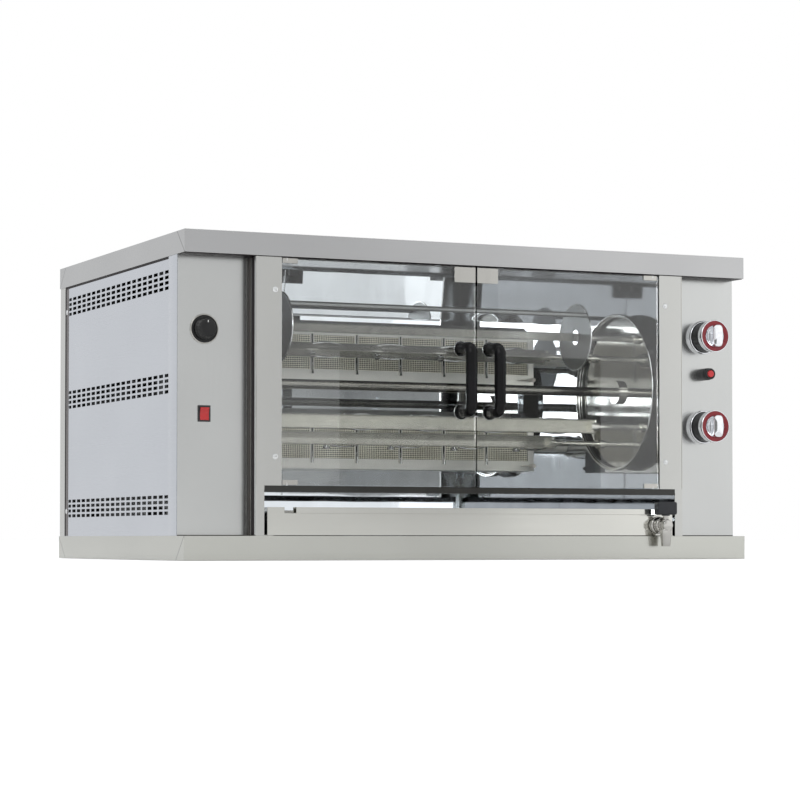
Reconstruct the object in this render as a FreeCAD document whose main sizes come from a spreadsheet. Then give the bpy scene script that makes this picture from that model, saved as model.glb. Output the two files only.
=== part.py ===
"""Two-burner gas chicken rotisserie with a planetary spit drive, glass doors and a drip-tray drawer.

The frame: X runs to the right, Y to the back, Z up. The origin is the centre of the base's footprint on
the surface that the cabinet stands on. All sizes are in millimetres.
"""
import FreeCAD, Part
import Sketcher
import math
import os

# Every size that can be set by itself, written once: name, value, what it is.
SIZES = [
    ("cab_width", 1180, "cabinet width"),
    ("cab_depth", 770, "cabinet depth"),
    ("cab_height", 600, "cabinet height"),
    ("cap_height", 42, "height of the top cap's skirt"),
    ("base_height", 45, "height of the base pan"),
    ("skin", 1.5, "thickness of the folded steel sheets"),
    ("panel_recess", 42, "control panels behind the front of the cap"),
    ("frame_setback", 5, "door frame behind the front of the cap"),
    ("frame_width", 900, "outer width of the door frame"),
    ("stile_width", 51, "width of a door stile"),
    ("leg_width", 17, "width of a stile below the sill"),
    ("stile_return", 38, "depth of a stile's side flange"),
    ("sill_bottom", 125, "underside of the sill rail"),
    ("sill_rise", 12, "height of the sill rail"),
    ("sill_depth", 13, "depth of the sill rail"),
    ("chamber_depth", 510, "door frame front to the chamber's rear wall"),
    ("base_mouth_side", 190, "closed edge of the base pan's top beside its mouth"),
    ("base_mouth_front", 70, "closed edge in front of the mouth"),
    ("base_mouth_back", 330, "closed edge behind the mouth"),
    ("lintel_rise", 24, "height of the lintel channel"),
    ("seam_gap", 2, "open seam between side cover and rear cover"),
    ("rear_flange", 35, "depth of the rear cover's side flange"),
    ("lap", 24, "width of the lip that the side cover laps"),
    ("slot_long", 22.5, "length of a cooling slot"),
    ("slot_high", 6.2, "height of a cooling slot"),
    ("slot_pitch", 31.7, "spacing of the slots along a row"),
    ("slot_row_pitch", 10, "spacing of the slot rows"),
    ("slot_columns", 20, "slots in a row"),
    ("slot_rows", 4, "rows in a band"),
    ("slot_front", 45.8, "front edge of the side cover to the first slot"),
    ("band_low", 83.4, "height of the lower slot band"),
    ("band_middle", 306.4, "height of the middle slot band"),
    ("band_high", 497.4, "height of the upper slot band"),
    ("flue_columns", 14, "slots in a row of the flue outlet"),
    ("flue_side", 190, "middle of the cap to the first flue slot"),
    ("flue_back", 60, "rear of the cap to the flue slots"),
    ("glass_thick", 5, "door glass thickness"),
    ("glass_setback", 4, "glass behind the face of the door frame"),
    ("glass_low_gap", 1.5, "glass above the sill"),
    ("glass_high_gap", 2, "glass below the cap's lip"),
    ("glass_side_gap", 1.6, "glass to stile"),
    ("door_gap", 3, "gap between the two doors"),
    ("pivot_inset", 12, "door pivot from the stile's inner edge"),
    ("shoe_length", 30, "length of a pivot shoe"),
    ("shoe_rise", 9, "height of a pivot shoe"),
    ("pivot_pin_radius", 2.5, "radius of a door pivot pin"),
    ("pin_fit", 0.06, "radial play of a running pin"),
    ("strike_long", 44, "length of a strike plate"),
    ("strike_high", 30, "height of a strike plate"),
    ("strike_thick", 1.6, "thickness of a strike plate"),
    ("magnet_long", 22, "length of a catch magnet"),
    ("magnet_deep", 12, "depth of a catch magnet"),
    ("magnet_gap", 0.5, "play between magnet and glass"),
    ("handle_radius", 11, "radius of a door handle's bar"),
    ("handle_height", 142, "overall height of a door handle"),
    ("handle_reach", 42, "handle bar's axis in front of the glass"),
    ("handle_bend", 17, "bend radius of a handle"),
    ("handle_inset", 30, "handle's axis from the middle of the cabinet"),
    ("handle_level", 340, "height of the middle of a handle"),
    ("handle_washer", 15, "radius of the washer inside the glass"),
    ("tray_side_gap", 6, "tray front to leg"),
    ("tray_lift", 1, "tray above the base pan"),
    ("tray_height", 51.5, "height of the drip tray"),
    ("tray_depth", 475, "depth of the drip tray"),
    ("tray_body_inset", 14, "tray's wall behind the edge of its front"),
    ("lip_width", 748, "width of the tray's folded grip"),
    ("lip_height", 11, "height of the tray's folded grip"),
    ("lip_reach", 10, "reach of the tray's folded grip"),
    ("notch_width", 17, "width of a relief notch beside the grip"),
    ("runner_reach", 24, "width of a tray runner"),
    ("runner_rise", 30, "height of a tray runner"),
    ("slide_gap", 0.4, "play between tray and runner"),
    ("tap_side", 395, "drain tap from the middle"),
    ("tap_level", 66, "height of the drain tap's axis"),
    ("tap_flange", 17.5, "radius of the tap's flange"),
    ("tap_body", 11, "radius of the tap's body"),
    ("tap_reach", 40, "reach of the tap in front of the tray"),
    ("tap_spout", 7, "radius of the tap's spout"),
    ("tap_drop", 25, "height of the spout's mouth"),
    ("tap_stem", 5, "radius of the tap's stem"),
    ("lever_length", 43, "length of the tap lever"),
    ("lever_width", 19, "width of the tap lever"),
    ("lever_low", 84, "underside of the tap lever"),
    ("lever_rise", 28, "height of the tap lever"),
    ("axis_back", 163, "rotor axis in front of the cabinet's middle"),
    ("axis_level", 338.5, "height of the rotor axis"),
    ("wheel_radius", 160, "radius of a rotor wheel"),
    ("wheel_plate", 2.5, "thickness of a rotor wheel's plate"),
    ("wheel_rim", 14, "width of a rotor wheel's rolled rim"),
    ("wheel_rim_wall", 2, "thickness of the rolled rim"),
    ("wheel_gap", 18, "rotor wheel to partition"),
    ("hub_radius", 24, "radius of a wheel hub"),
    ("hub_long", 12, "length of a wheel hub"),
    ("shaft_radius", 9.5, "radius of the rotor shaft"),
    ("bearing_radius", 22, "radius of a shaft bearing's flange"),
    ("bearing_collar", 14, "radius of a shaft bearing's collar"),
    ("bearing_flange", 3, "thickness of a shaft bearing's flange"),
    ("gear_module", 4, "module of the planet gears"),
    ("sun_teeth", 48, "teeth of the fixed sun gear"),
    ("planet_teeth", 16, "teeth of a planet gear"),
    ("gear_width", 8, "face width of the gears"),
    ("gear_side_gap", 4, "sun gear in front of the partition"),
    ("tooth_play", 0.35, "thinning of each tooth at the pitch circle"),
    ("sun_bore", 60, "radius of the opening in the sun gear"),
    ("spit_count", 4, "spits round the rotor"),
    ("spit_lead", 53.5, "angle of the first spit above the front"),
    ("spit_leg", 20, "leg of a spit's angle bar"),
    ("spit_thick", 2.2, "thickness of a spit's angle bar"),
    ("spit_left", 388, "left end of a spit's bar"),
    ("spit_right", 313, "right end of a spit's bar"),
    ("spindle_radius", 5.5, "radius of a spit's spindle"),
    ("cup_radius", 9, "radius of the cup at a bar's right end"),
    ("cup_long", 16, "length of that cup"),
    ("socket_radius", 12, "radius of a spit socket"),
    ("socket_long", 20, "length of a spit socket"),
    ("nut_radius", 9, "across the corners of a spindle nut, halved"),
    ("nut_long", 8, "length of a spindle nut"),
    ("disc_radius", 67, "radius of a spit's end disc"),
    ("disc_thick", 2, "thickness of an end disc"),
    ("disc_left", 349, "left end disc from the middle"),
    ("disc_right", 286, "right end disc from the middle"),
    ("tie_radius", 5, "radius of the rod between the end discs"),
    ("tie_near", 45, "tie rod in front of the spit"),
    ("tie_up", 41, "tie rod above the spit"),
    ("fork_pitch", 140, "spacing of the forks on a spit"),
    ("fork_clip", 22, "width of a fork's clip"),
    ("fork_wall", 2.5, "thickness of a fork's clip"),
    ("fork_play", 0.05, "play between a fork's clip and the bar"),
    ("prong_radius", 2.2, "radius of a fork's prongs"),
    ("prong_long", 56, "length of a prong"),
    ("screw_stem", 3, "radius of a fork's thumb screw"),
    ("screw_wing", 7.5, "radius of a thumb screw's head"),
    ("plaque_count", 7, "ceramic plaques in a burner"),
    ("plaque_pitch", 98.9, "spacing of the plaques"),
    ("plaque_gap", 3, "joint between two plaques"),
    ("plaque_height", 70, "height of a plaque"),
    ("plaque_thick", 13, "thickness of a plaque"),
    ("burner_depth", 46, "depth of a burner housing"),
    ("burner_low", 204, "underside of the lower plaques"),
    ("burner_high", 386, "underside of the upper plaques"),
    ("burner_edge", 6, "housing above the plaques"),
    ("burner_flange", 21, "housing below the plaques"),
    ("burner_end", 14, "housing beside the plaques"),
    ("hood_rise", 26, "rise of a burner's hood"),
    ("clip_width", 8, "width of a plaque clip"),
    ("mixer_radius", 13, "radius of a mixer tube"),
    ("mixer_bell", 20, "radius of a mixer's bell mouth"),
    ("jet_radius", 7, "radius of a jet holder"),
    ("pipe_radius", 5, "radius of a gas pipe"),
    ("manifold_radius", 8, "radius of the gas manifold"),
    ("inlet_radius", 10.5, "radius of the gas inlet's stub"),
    ("inlet_long", 20, "length of the gas inlet's stub"),
    ("inlet_level", 95, "height of the gas inlet"),
    ("knob_column", 519, "gas knobs from the middle"),
    ("gas_high", 441, "height of the upper gas knob"),
    ("gas_low", 262, "height of the lower gas knob"),
    ("gas_radius", 33.5, "radius of a gas knob's bezel"),
    ("gas_bezel", 9, "thickness of a gas knob's bezel"),
    ("gas_waist", 30, "radius of a gas knob's waist"),
    ("gas_waist_end", 34, "end of a gas knob's waist in front of the panel"),
    ("gas_skirt", 32, "radius of a gas knob's skirt"),
    ("gas_face", 50, "gas knob's face in front of the panel"),
    ("gas_reach", 62, "gas knob's grip in front of the panel"),
    ("gas_wing", 22, "width of a gas knob's grip"),
    ("stem_radius", 4, "radius of a control's stem"),
    ("igniter_level", 367, "height of the igniter"),
    ("igniter_radius", 12, "radius of the igniter's collar"),
    ("igniter_collar", 22, "igniter's collar in front of the panel"),
    ("button_radius", 7.5, "radius of the igniter's button"),
    ("button_reach", 35, "igniter's button in front of the panel"),
    ("dial_column", 537, "dial and switch from the middle"),
    ("dial_level", 423, "height of the dial"),
    ("dial_radius", 25.5, "radius of the dial's bezel"),
    ("dial_bezel", 3, "thickness of the dial's bezel"),
    ("dial_grip", 21, "radius of the dial"),
    ("dial_reach", 22, "dial's face in front of the panel"),
    ("switch_level", 268, "height of the rocker switch"),
    ("switch_width", 24, "width of the switch frame"),
    ("switch_height", 30, "height of the switch frame"),
    ("switch_rim", 2.5, "width of the switch frame's rim"),
    ("switch_depth", 26, "depth of the switch body"),
    ("motor_radius", 34, "radius of the drive motor"),
    ("motor_long", 62, "length of the drive motor"),
    ("gearbox_side", 84, "side of the square gearbox"),
    ("gearbox_long", 40, "length of the gearbox"),
    ("head_radius", 5.5, "radius of a panel screw's head"),
    ("head_rise", 1.4, "height of a panel screw's head"),
    ("screw_shank", 2, "radius of a panel screw's shank"),
    ("screw_long", 7, "length of a panel screw's shank"),
    ("hole_play", 0.1, "radial clearance of a screw or stem hole"),
    ("stile_screw_inset", 13, "stile screws from the stile's inner edge"),
    ("stile_screw_high", 497, "height of the upper stile screws"),
    ("stile_screw_low", 190, "height of the lower stile screws"),
    ("side_screw_inset", 10, "side screws from the side cover's rear edge"),
    ("side_screw_high", 506, "height of the upper side screws"),
    ("side_screw_low", 96, "height of the lower side screws"),
    ("rear_screw_inset", 20, "rear screws from the rear cover's edge"),
]

doc = FreeCAD.newDocument("chicken_rotisserie")
sheet = doc.addObject("Spreadsheet::Sheet", "dims")
for row, (alias, value, meaning) in enumerate(SIZES, start=1):
    sheet.set(f"A{row}", meaning)
    sheet.set(f"B{row}", str(value))
    sheet.setAlias(f"B{row}", alias)
doc.recompute()


class Dim:
    """A size: its formula over the sheet's cells, and the value that the formula has now."""

    def __init__(self, formula, value):
        self.formula = formula
        self.value = value

    def __add__(self, other):
        other = dim(other)
        return Dim(f"({self.formula} + {other.formula})", self.value + other.value)

    def __sub__(self, other):
        other = dim(other)
        return Dim(f"({self.formula} - {other.formula})", self.value - other.value)

    def __mul__(self, other):
        other = dim(other)
        return Dim(f"({self.formula} * {other.formula})", self.value * other.value)

    def __truediv__(self, other):
        other = dim(other)
        return Dim(f"({self.formula} / {other.formula})", self.value / other.value)

    def __radd__(self, other):
        return dim(other) + self

    def __rsub__(self, other):
        return dim(other) - self

    def __rmul__(self, other):
        return dim(other) * self

    def __neg__(self):
        return Dim(f"(0 - {self.formula})", -self.value)

    def __float__(self):
        return float(self.value)


def dim(value):
    return value if isinstance(value, Dim) else Dim(repr(value), value)


def cosine(angle):
    return Dim(f"cos({angle.formula} * 1 deg)", math.cos(math.radians(float(angle))))


def sine(angle):
    return Dim(f"sin({angle.formula} * 1 deg)", math.sin(math.radians(float(angle))))


class Sizes:
    pass


s = Sizes()
for alias, value, meaning in SIZES:
    setattr(s, alias, Dim(f"dims.{alias}", float(sheet.get(alias))))

V = FreeCAD.Vector
UPRIGHT = FreeCAD.Rotation()
ALONG = {
    "+X": FreeCAD.Rotation(V(0, 1, 0), 90),
    "-X": FreeCAD.Rotation(V(0, 1, 0), -90),
    "+Y": FreeCAD.Rotation(V(1, 0, 0), -90),
    "-Y": FreeCAD.Rotation(V(1, 0, 0), 90),
    "+Z": UPRIGHT,
    "-Z": FreeCAD.Rotation(V(1, 0, 0), 180),
}
parts = []


def bind(obj, name, size):
    obj.setExpression(name, dim(size).formula)


def place(obj, x, y, z, rotation=UPRIGHT):
    obj.Placement = FreeCAD.Placement(V(float(dim(x)), float(dim(y)), float(dim(z))), rotation)
    bind(obj, "Placement.Base.x", x)
    bind(obj, "Placement.Base.y", y)
    bind(obj, "Placement.Base.z", z)
    return obj


def box(x0, x1, y0, y1, z0, z1):
    """A block between two X, two Y and two Z values."""
    block = doc.addObject("Part::Box", "block")
    bind(block, "Length", dim(x1) - x0)
    bind(block, "Width", dim(y1) - y0)
    bind(block, "Height", dim(z1) - z0)
    return place(block, x0, y0, z0)


def rod(along, radius, length, x, y, z):
    """A round bar that starts at a point and runs along a signed axis."""
    bar = doc.addObject("Part::Cylinder", "bar")
    bind(bar, "Radius", radius)
    bind(bar, "Height", length)
    return place(bar, x, y, z, ALONG[along])


def taper(along, start_radius, end_radius, length, x, y, z):
    cone = doc.addObject("Part::Cone", "taper")
    bind(cone, "Radius1", start_radius)
    bind(cone, "Radius2", end_radius)
    bind(cone, "Height", length)
    return place(cone, x, y, z, ALONG[along])


def elbow(x, y, z, radius):
    """A ball at a pipe's corner."""
    ball = doc.addObject("Part::Sphere", "elbow")
    bind(ball, "Radius", radius)
    return place(ball, x, y, z)


def joined(*pieces):
    whole = doc.addObject("Part::MultiFuse", "joined")
    whole.Shapes = list(pieces)
    return whole


def group(*pieces):
    whole = doc.addObject("Part::Compound", "group")
    whole.Links = list(pieces)
    return whole


def cut(base, *tools):
    whole = doc.addObject("Part::Cut", "cut")
    whole.Base = base
    whole.Tool = tools[0] if len(tools) == 1 else group(*tools)
    return whole


def twin(piece, x, y, z, rotation=UPRIGHT):
    """Another of the same piece, at its own place."""
    link = doc.addObject("App::Link", "twin")
    link.LinkedObject = piece
    return place(link, x, y, z, rotation)


def mirrored(piece):
    """The same piece on the other side of the cabinet's middle."""
    other = doc.addObject("Part::Mirroring", "mirrored")
    other.Source = piece
    other.Base = V(0, 0, 0)
    other.Normal = V(1, 0, 0)
    return other


def name(label, piece):
    piece.Label = label
    parts.append(piece)
    return piece


def origin_plane(body, role):
    return [item for item in body.Origin.OriginFeatures if item.Role == role][0]


def sketch(body, role, points, title):
    """A closed outline on an origin plane, each corner held by its two distances from the origin."""
    drawing = body.newObject("Sketcher::SketchObject", title)
    drawing.AttachmentSupport = [(origin_plane(body, role), "")]
    drawing.MapMode = "FlatFace"
    corners = [(dim(u), dim(v)) for u, v in points]
    count = len(corners)
    for index in range(count):
        start = corners[index]
        end = corners[(index + 1) % count]
        line = Part.LineSegment(V(float(start[0]), float(start[1]), 0), V(float(end[0]), float(end[1]), 0))
        drawing.addGeometry(line)
    for index in range(count):
        drawing.addConstraint(Sketcher.Constraint("Coincident", index, 2, (index + 1) % count, 1))
    for index in range(count):
        for kind, size in zip(("DistanceX", "DistanceY"), corners[index]):
            held = drawing.addConstraint(Sketcher.Constraint(kind, -1, 1, index, 1, float(size)))
            drawing.setExpression(f"Constraints[{held}]", size.formula)
    return drawing


def turned(title, profile):
    """A body turned about its own Z axis; the profile is a list of (radius, height) corners."""
    body = doc.addObject("PartDesign::Body", title)
    drawing = sketch(body, "XZ_Plane", profile, title + "_profile")
    turn = body.newObject("PartDesign::Revolution", title + "_turn")
    turn.Profile = drawing
    turn.ReferenceAxis = (drawing, ["V_Axis"])
    turn.Angle = 360
    return body


def extruded(title, role, outline, length, midplane=False, backward=False):
    """A body padded from an outline on one of its origin planes."""
    body = doc.addObject("PartDesign::Body", title)
    drawing = sketch(body, role, outline, title + "_outline")
    pad = body.newObject("PartDesign::Pad", title + "_pad")
    pad.Profile = drawing
    bind(pad, "Length", length)
    pad.Midplane = midplane
    pad.Reversed = backward
    return body


def slot_band(body, role, u, v, columns, rows, title, backward):
    """One slot cut through the body's sheet, repeated in columns and rows."""
    corners = [(u, v), (u + s.slot_long, v), (u + s.slot_long, v + s.slot_high), (u, v + s.slot_high)]
    drawing = sketch(body, role, corners, title + "_slot")
    pocket = body.newObject("PartDesign::Pocket", title + "_pocket")
    pocket.Profile = drawing
    pocket.Type = 1
    pocket.Reversed = backward
    pattern = body.newObject("PartDesign::MultiTransform", title + "_slots")
    pattern.Originals = [pocket]
    along = doc.addObject("PartDesign::LinearPattern", title + "_along")
    along.Direction = (drawing, ["H_Axis"])
    bind(along, "Occurrences", columns)
    bind(along, "Length", s.slot_pitch * (dim(columns) - 1))
    upward = doc.addObject("PartDesign::LinearPattern", title + "_up")
    upward.Direction = (drawing, ["V_Axis"])
    bind(upward, "Occurrences", rows)
    bind(upward, "Length", s.slot_row_pitch * (dim(rows) - 1))
    pattern.Transformations = [along, upward]
    body.Tip = pattern


# Planes that the pieces share.
half = s.cab_width / 2
front = -s.cab_depth / 2
back = s.cab_depth / 2
inside = half - s.skin
cap_low = s.cab_height - s.cap_height
ceiling = s.cab_height - s.skin
panel_face = front + s.panel_recess
panel_back = panel_face + s.skin
frame_face = front + s.frame_setback
frame_back = frame_face + s.skin
frame_side = s.frame_width / 2
stile_inner = frame_side - s.stile_width
leg_inner = frame_side - s.leg_width
wall_outer = frame_side - s.skin
wall_inner = wall_outer - s.skin
sill_top = s.sill_bottom + s.sill_rise
rear_wall_face = frame_face + s.chamber_depth
cover_back = back - s.skin
lip_back = panel_face - 0.5

# Base pan: a shallow box whose top has one mouth, under the drip tray.
base_outer = box(-half, half, front, back, 0, s.base_height)
base_hollow = box(-inside, inside, front + s.skin, cover_back, s.skin, s.base_height - s.skin)
mouth_side = half - s.base_mouth_side
base_mouth = box(-mouth_side, mouth_side, front + s.base_mouth_front, back - s.base_mouth_back,
                 s.base_height - 2 * s.skin, s.base_height + s.skin)
name("base_pan", cut(cut(base_outer, base_hollow), base_mouth))

# Top cap: a folded lid with a lip under its front and a flue outlet at the rear of its top.
cap = extruded("cap_body", "XY_Plane", [(-half, front), (half, front), (half, back), (-half, back)], s.cab_height)
hollow = sketch(cap, "XY_Plane", [(-inside, front + s.skin), (inside, front + s.skin), (inside, cover_back),
                                  (-inside, cover_back)], "cap_hollow")
cap_pocket = cap.newObject("PartDesign::Pocket", "cap_pocket")
cap_pocket.Profile = hollow
cap_pocket.Reversed = True
bind(cap_pocket, "Length", ceiling)
slot_band(cap, "XY_Plane", -s.flue_side, back - s.flue_back, s.flue_columns, dim(3), "flue", True)
below_cap = box(-2 * half, 2 * half, 2 * front, 2 * back, -s.skin, cap_low)
cap_lip = box(-inside, inside, front + s.skin, lip_back, cap_low, cap_low + s.skin)
name("top_cap", joined(cut(cap, below_cap), cap_lip))

# Side covers: flat sheets with three bands of cooling slots.
side_front = panel_back
side_back = back - s.rear_flange - s.seam_gap
cover_top = ceiling - s.skin


def side_cover(label, x):
    """A flat sheet whose slots and screw holes are wires of its face, drawn at the place where it stands."""
    y0, y1 = float(side_front), float(side_back)
    z0, z1 = float(s.base_height), float(cover_top)
    long, high = float(s.slot_long), float(s.slot_high)
    start = float(dim(x))

    def loop(ya, yb, za, zb):
        return Part.makePolygon([V(start, ya, za), V(start, yb, za), V(start, yb, zb), V(start, ya, zb),
                                 V(start, ya, za)])

    openings = []
    for level in (s.band_low, s.band_middle, s.band_high):
        for row in range(int(float(s.slot_rows))):
            for column in range(int(float(s.slot_columns))):
                y = y0 + float(s.slot_front) + column * float(s.slot_pitch)
                z = float(level) + row * float(s.slot_row_pitch)
                openings.append(Part.Face(loop(y, y + long, z, z + high)))
    for level in (s.side_screw_low, s.side_screw_high):
        ring = Part.Circle(V(start, float(side_back - s.side_screw_inset), float(level)), V(1, 0, 0),
                           float(s.screw_shank + s.hole_play))
        openings.append(Part.Face(Part.Wire(ring.toShape())))
    face = Part.Face(loop(y0, y1, z0, z1)).cut(openings)
    cover = doc.addObject("Part::Feature", label)
    cover.Shape = face.extrude(V(float(s.skin), 0, 0))
    name(label, cover)


side_cover("left_side_cover", -inside)
side_cover("right_side_cover", inside - s.skin)

# Rear cover: a sheet whose sides fold forward and carry a lip behind each side cover.
rear = extruded("rear_sheet", "XZ_Plane", [(-inside, s.base_height), (inside, s.base_height),
                                           (inside, cover_top), (-inside, cover_top)], s.skin)
slot_band(rear, "XZ_Plane", -s.flue_side, s.band_high, s.flue_columns, s.slot_rows, "rear_high", True)
slot_band(rear, "XZ_Plane", -s.flue_side, s.band_low, s.flue_columns, s.slot_rows, "rear_low", True)
place(rear, 0, cover_back, 0)
flange_front = back - s.rear_flange
rear_pieces = [rear]
for side in (-1, 1):
    outer = side * inside
    inner = side * (inside - s.skin)
    lip = side * (inside - 2 * s.skin)
    low, high = (outer, inner) if side < 0 else (inner, outer)
    rear_pieces.append(box(low, high, flange_front, cover_back, s.base_height, cover_top))
    low, high = (inner, lip) if side < 0 else (lip, inner)
    rear_pieces.append(box(low, high, side_back - s.lap, flange_front + s.skin, s.base_height, cover_top))
inlet_x = s.knob_column
rear_holes = [rod("+Y", s.inlet_radius + s.hole_play, 6 * s.skin, inlet_x, cover_back - 3 * s.skin, s.inlet_level),
              box(-inlet_x - 14, -inlet_x + 14, cover_back - 3 * s.skin, cover_back + 3 * s.skin,
                  s.inlet_level - 11, s.inlet_level + 11)]
for side in (-1, 1):
    for level in (s.side_screw_low, s.side_screw_high):
        rear_holes.append(rod("+X", s.screw_shank + s.hole_play, 6 * s.skin, side * inside - 3 * s.skin,
                              side_back - s.side_screw_inset, level))
        rear_holes.append(rod("+Y", s.screw_shank + s.hole_play, 6 * s.skin, side * (inside - s.rear_screw_inset),
                              cover_back - 3 * s.skin, level))
name("rear_cover", cut(joined(*rear_pieces), *rear_holes))

# Control panels, each with the holes for its controls.
left_panel = box(-inside, -frame_side, panel_face, panel_back, s.base_height, cover_top)
hole_start = panel_face - s.skin
left_holes = [
    rod("+Y", s.stem_radius + s.hole_play, 4 * s.skin, -s.dial_column, hole_start, s.dial_level),
    box(-s.dial_column - s.switch_width / 2 + s.switch_rim, -s.dial_column + s.switch_width / 2 - s.switch_rim,
        hole_start, panel_back + s.skin, s.switch_level - s.switch_height / 2 + s.switch_rim,
        s.switch_level + s.switch_height / 2 - s.switch_rim),
]
name("left_control_panel", cut(left_panel, *left_holes))
right_panel = box(frame_side, inside, panel_face, panel_back, s.base_height, cover_top)
right_holes = [rod("+Y", s.stem_radius + s.hole_play, 4 * s.skin, s.knob_column, hole_start, level)
               for level in (s.gas_low, s.gas_high)]
right_holes.append(rod("+Y", s.button_radius + 1 + s.hole_play, 4 * s.skin, s.knob_column, hole_start,
                       s.igniter_level))
name("right_control_panel", cut(right_panel, *right_holes))

# Chamber walls. Each partition is notched under the cap's lip.
axis_y = -s.axis_back
axis_z = s.axis_level
mixer_y = rear_wall_face - s.burner_depth / 2
mixer_levels = [s.burner_low + s.plaque_height / 2, s.burner_high + s.plaque_height / 2]
bearing_hole = s.bearing_collar + s.hole_play


def partition(label, x0, x1, with_mixers):
    sheet_box = box(x0, x1, frame_back, cover_back - s.skin, s.base_height, ceiling)
    tools = [box(x0 - s.skin, x1 + s.skin, frame_back - s.skin, panel_face, cap_low, s.cab_height),
             rod("+X", bearing_hole, 4 * s.skin, x0 - s.skin, axis_y, axis_z)]
    if with_mixers:
        for level in mixer_levels:
            tools.append(rod("+X", s.mixer_radius + 1, 4 * s.skin, x0 - s.skin, mixer_y, level))
    name(label, cut(sheet_box, *tools))


partition("left_partition", -wall_outer, -wall_inner, False)
partition("right_partition", wall_inner, wall_outer, True)
name("rear_wall", box(-wall_inner, wall_inner, rear_wall_face, rear_wall_face + s.skin, s.base_height, ceiling))

# Door frame: two folded stiles, the sill rail and the lintel above the cap's lip.
stiles = []
for side in (-1, 1):
    def across(near, far):
        return (side * far, side * near) if side < 0 else (side * near, side * far)
    face = box(*across(stile_inner, frame_side), frame_face, frame_back, sill_top, cap_low)
    leg = box(*across(leg_inner, frame_side), frame_face, frame_back, s.base_height, sill_top)
    flange = box(*across(wall_outer, frame_side), frame_face, frame_face + s.stile_return, s.base_height, cap_low)
    inner_fold = box(*across(stile_inner, stile_inner + s.skin), frame_face, frame_back + 5 * s.skin, sill_top,
                     cap_low)
    tools = [rod("+Y", s.screw_shank + s.hole_play, 4 * s.skin, side * (stile_inner + s.stile_screw_inset),
                 frame_face - s.skin, level) for level in (s.stile_screw_low, s.stile_screw_high)]
    stiles.append(cut(joined(face, leg, flange, inner_fold), *tools))
name("door_stiles", group(*stiles))

pivot_x = stile_inner - s.pivot_inset
glass_face = frame_face + s.glass_setback
glass_back = glass_face + s.glass_thick
pivot_y = glass_face + s.glass_thick / 2
glass_low = sill_top + s.glass_low_gap
glass_high = cap_low - s.glass_high_gap
pin_hole = s.pivot_pin_radius

sill_block = box(-leg_inner, leg_inner, frame_face, frame_face + s.sill_depth, s.sill_bottom, sill_top)
sill_edge = box(-leg_inner, leg_inner, frame_face - 1, frame_face, s.sill_bottom, s.sill_bottom + s.sill_rise / 3)
sill_holes = [rod("+Z", pin_hole, s.sill_rise, side * pivot_x, pivot_y, s.sill_bottom + s.sill_rise / 3)
              for side in (-1, 1)]
name("sill_rail", cut(joined(sill_block, sill_edge), *sill_holes))

lintel_low = cap_low + s.skin
lintel_block = box(-wall_inner, wall_inner, frame_back + s.skin, panel_face - 4 * s.skin, lintel_low,
                   lintel_low + s.lintel_rise)
lintel_hollow = box(-half, half, frame_back + 2 * s.skin, panel_face, lintel_low + s.skin, s.cab_height)
name("lintel", cut(lintel_block, lintel_hollow))

# Door pivots: a pin in the sill and a pin hung from the cap's lip at each side.
pins = []
for side in (-1, 1):
    pins.append(rod("+Z", s.pivot_pin_radius, s.sill_rise * 2 / 3 + s.glass_low_gap + s.shoe_rise / 2,
                    side * pivot_x, pivot_y, s.sill_bottom + s.sill_rise / 3))
    pins.append(rod("-Z", s.pivot_pin_radius, s.glass_high_gap + s.shoe_rise / 2, side * pivot_x, pivot_y, cap_low))
name("pivot_pins", group(*pins))

# Magnetic catches behind the top corners where the doors meet.
magnet_y = glass_back + s.magnet_gap
magnets = [box(6, 6 + s.magnet_long, magnet_y, magnet_y + s.magnet_deep, cap_low - s.strike_high / 2, cap_low),
           box(-6 - s.magnet_long, -6, magnet_y, magnet_y + s.magnet_deep, cap_low - s.strike_high / 2, cap_low)]
name("catch_magnets", group(*magnets))


def handle(side):
    """A bar bent at both ends and seated on the glass, with a washer inside the glass."""
    x = side * s.handle_inset
    y = glass_face - s.handle_reach
    low = s.handle_level - s.handle_height / 2 + s.handle_radius
    high = s.handle_level + s.handle_height / 2 - s.handle_radius
    arm = s.handle_reach - s.handle_bend
    pieces = [rod("+Z", s.handle_radius, high - low - 2 * s.handle_bend, x, y, low + s.handle_bend),
              rod("-Y", s.handle_radius, arm, x, glass_face, low),
              rod("-Y", s.handle_radius, arm, x, glass_face, high)]
    for level, rotation in ((low + s.handle_bend, FreeCAD.Rotation(V(0, -1, 0), V(0, 0, -1), V(1, 0, 0))),
                            (high - s.handle_bend, FreeCAD.Rotation(V(0, 0, 1), V(0, -1, 0), V(1, 0, 0)))):
        bend = doc.addObject("Part::Torus", "bend")
        bind(bend, "Radius1", s.handle_bend)
        bind(bend, "Radius2", s.handle_radius)
        bend.Angle3 = 90
        pieces.append(place(bend, x, y + s.handle_bend, level, rotation))
    return pieces, low, high


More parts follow.
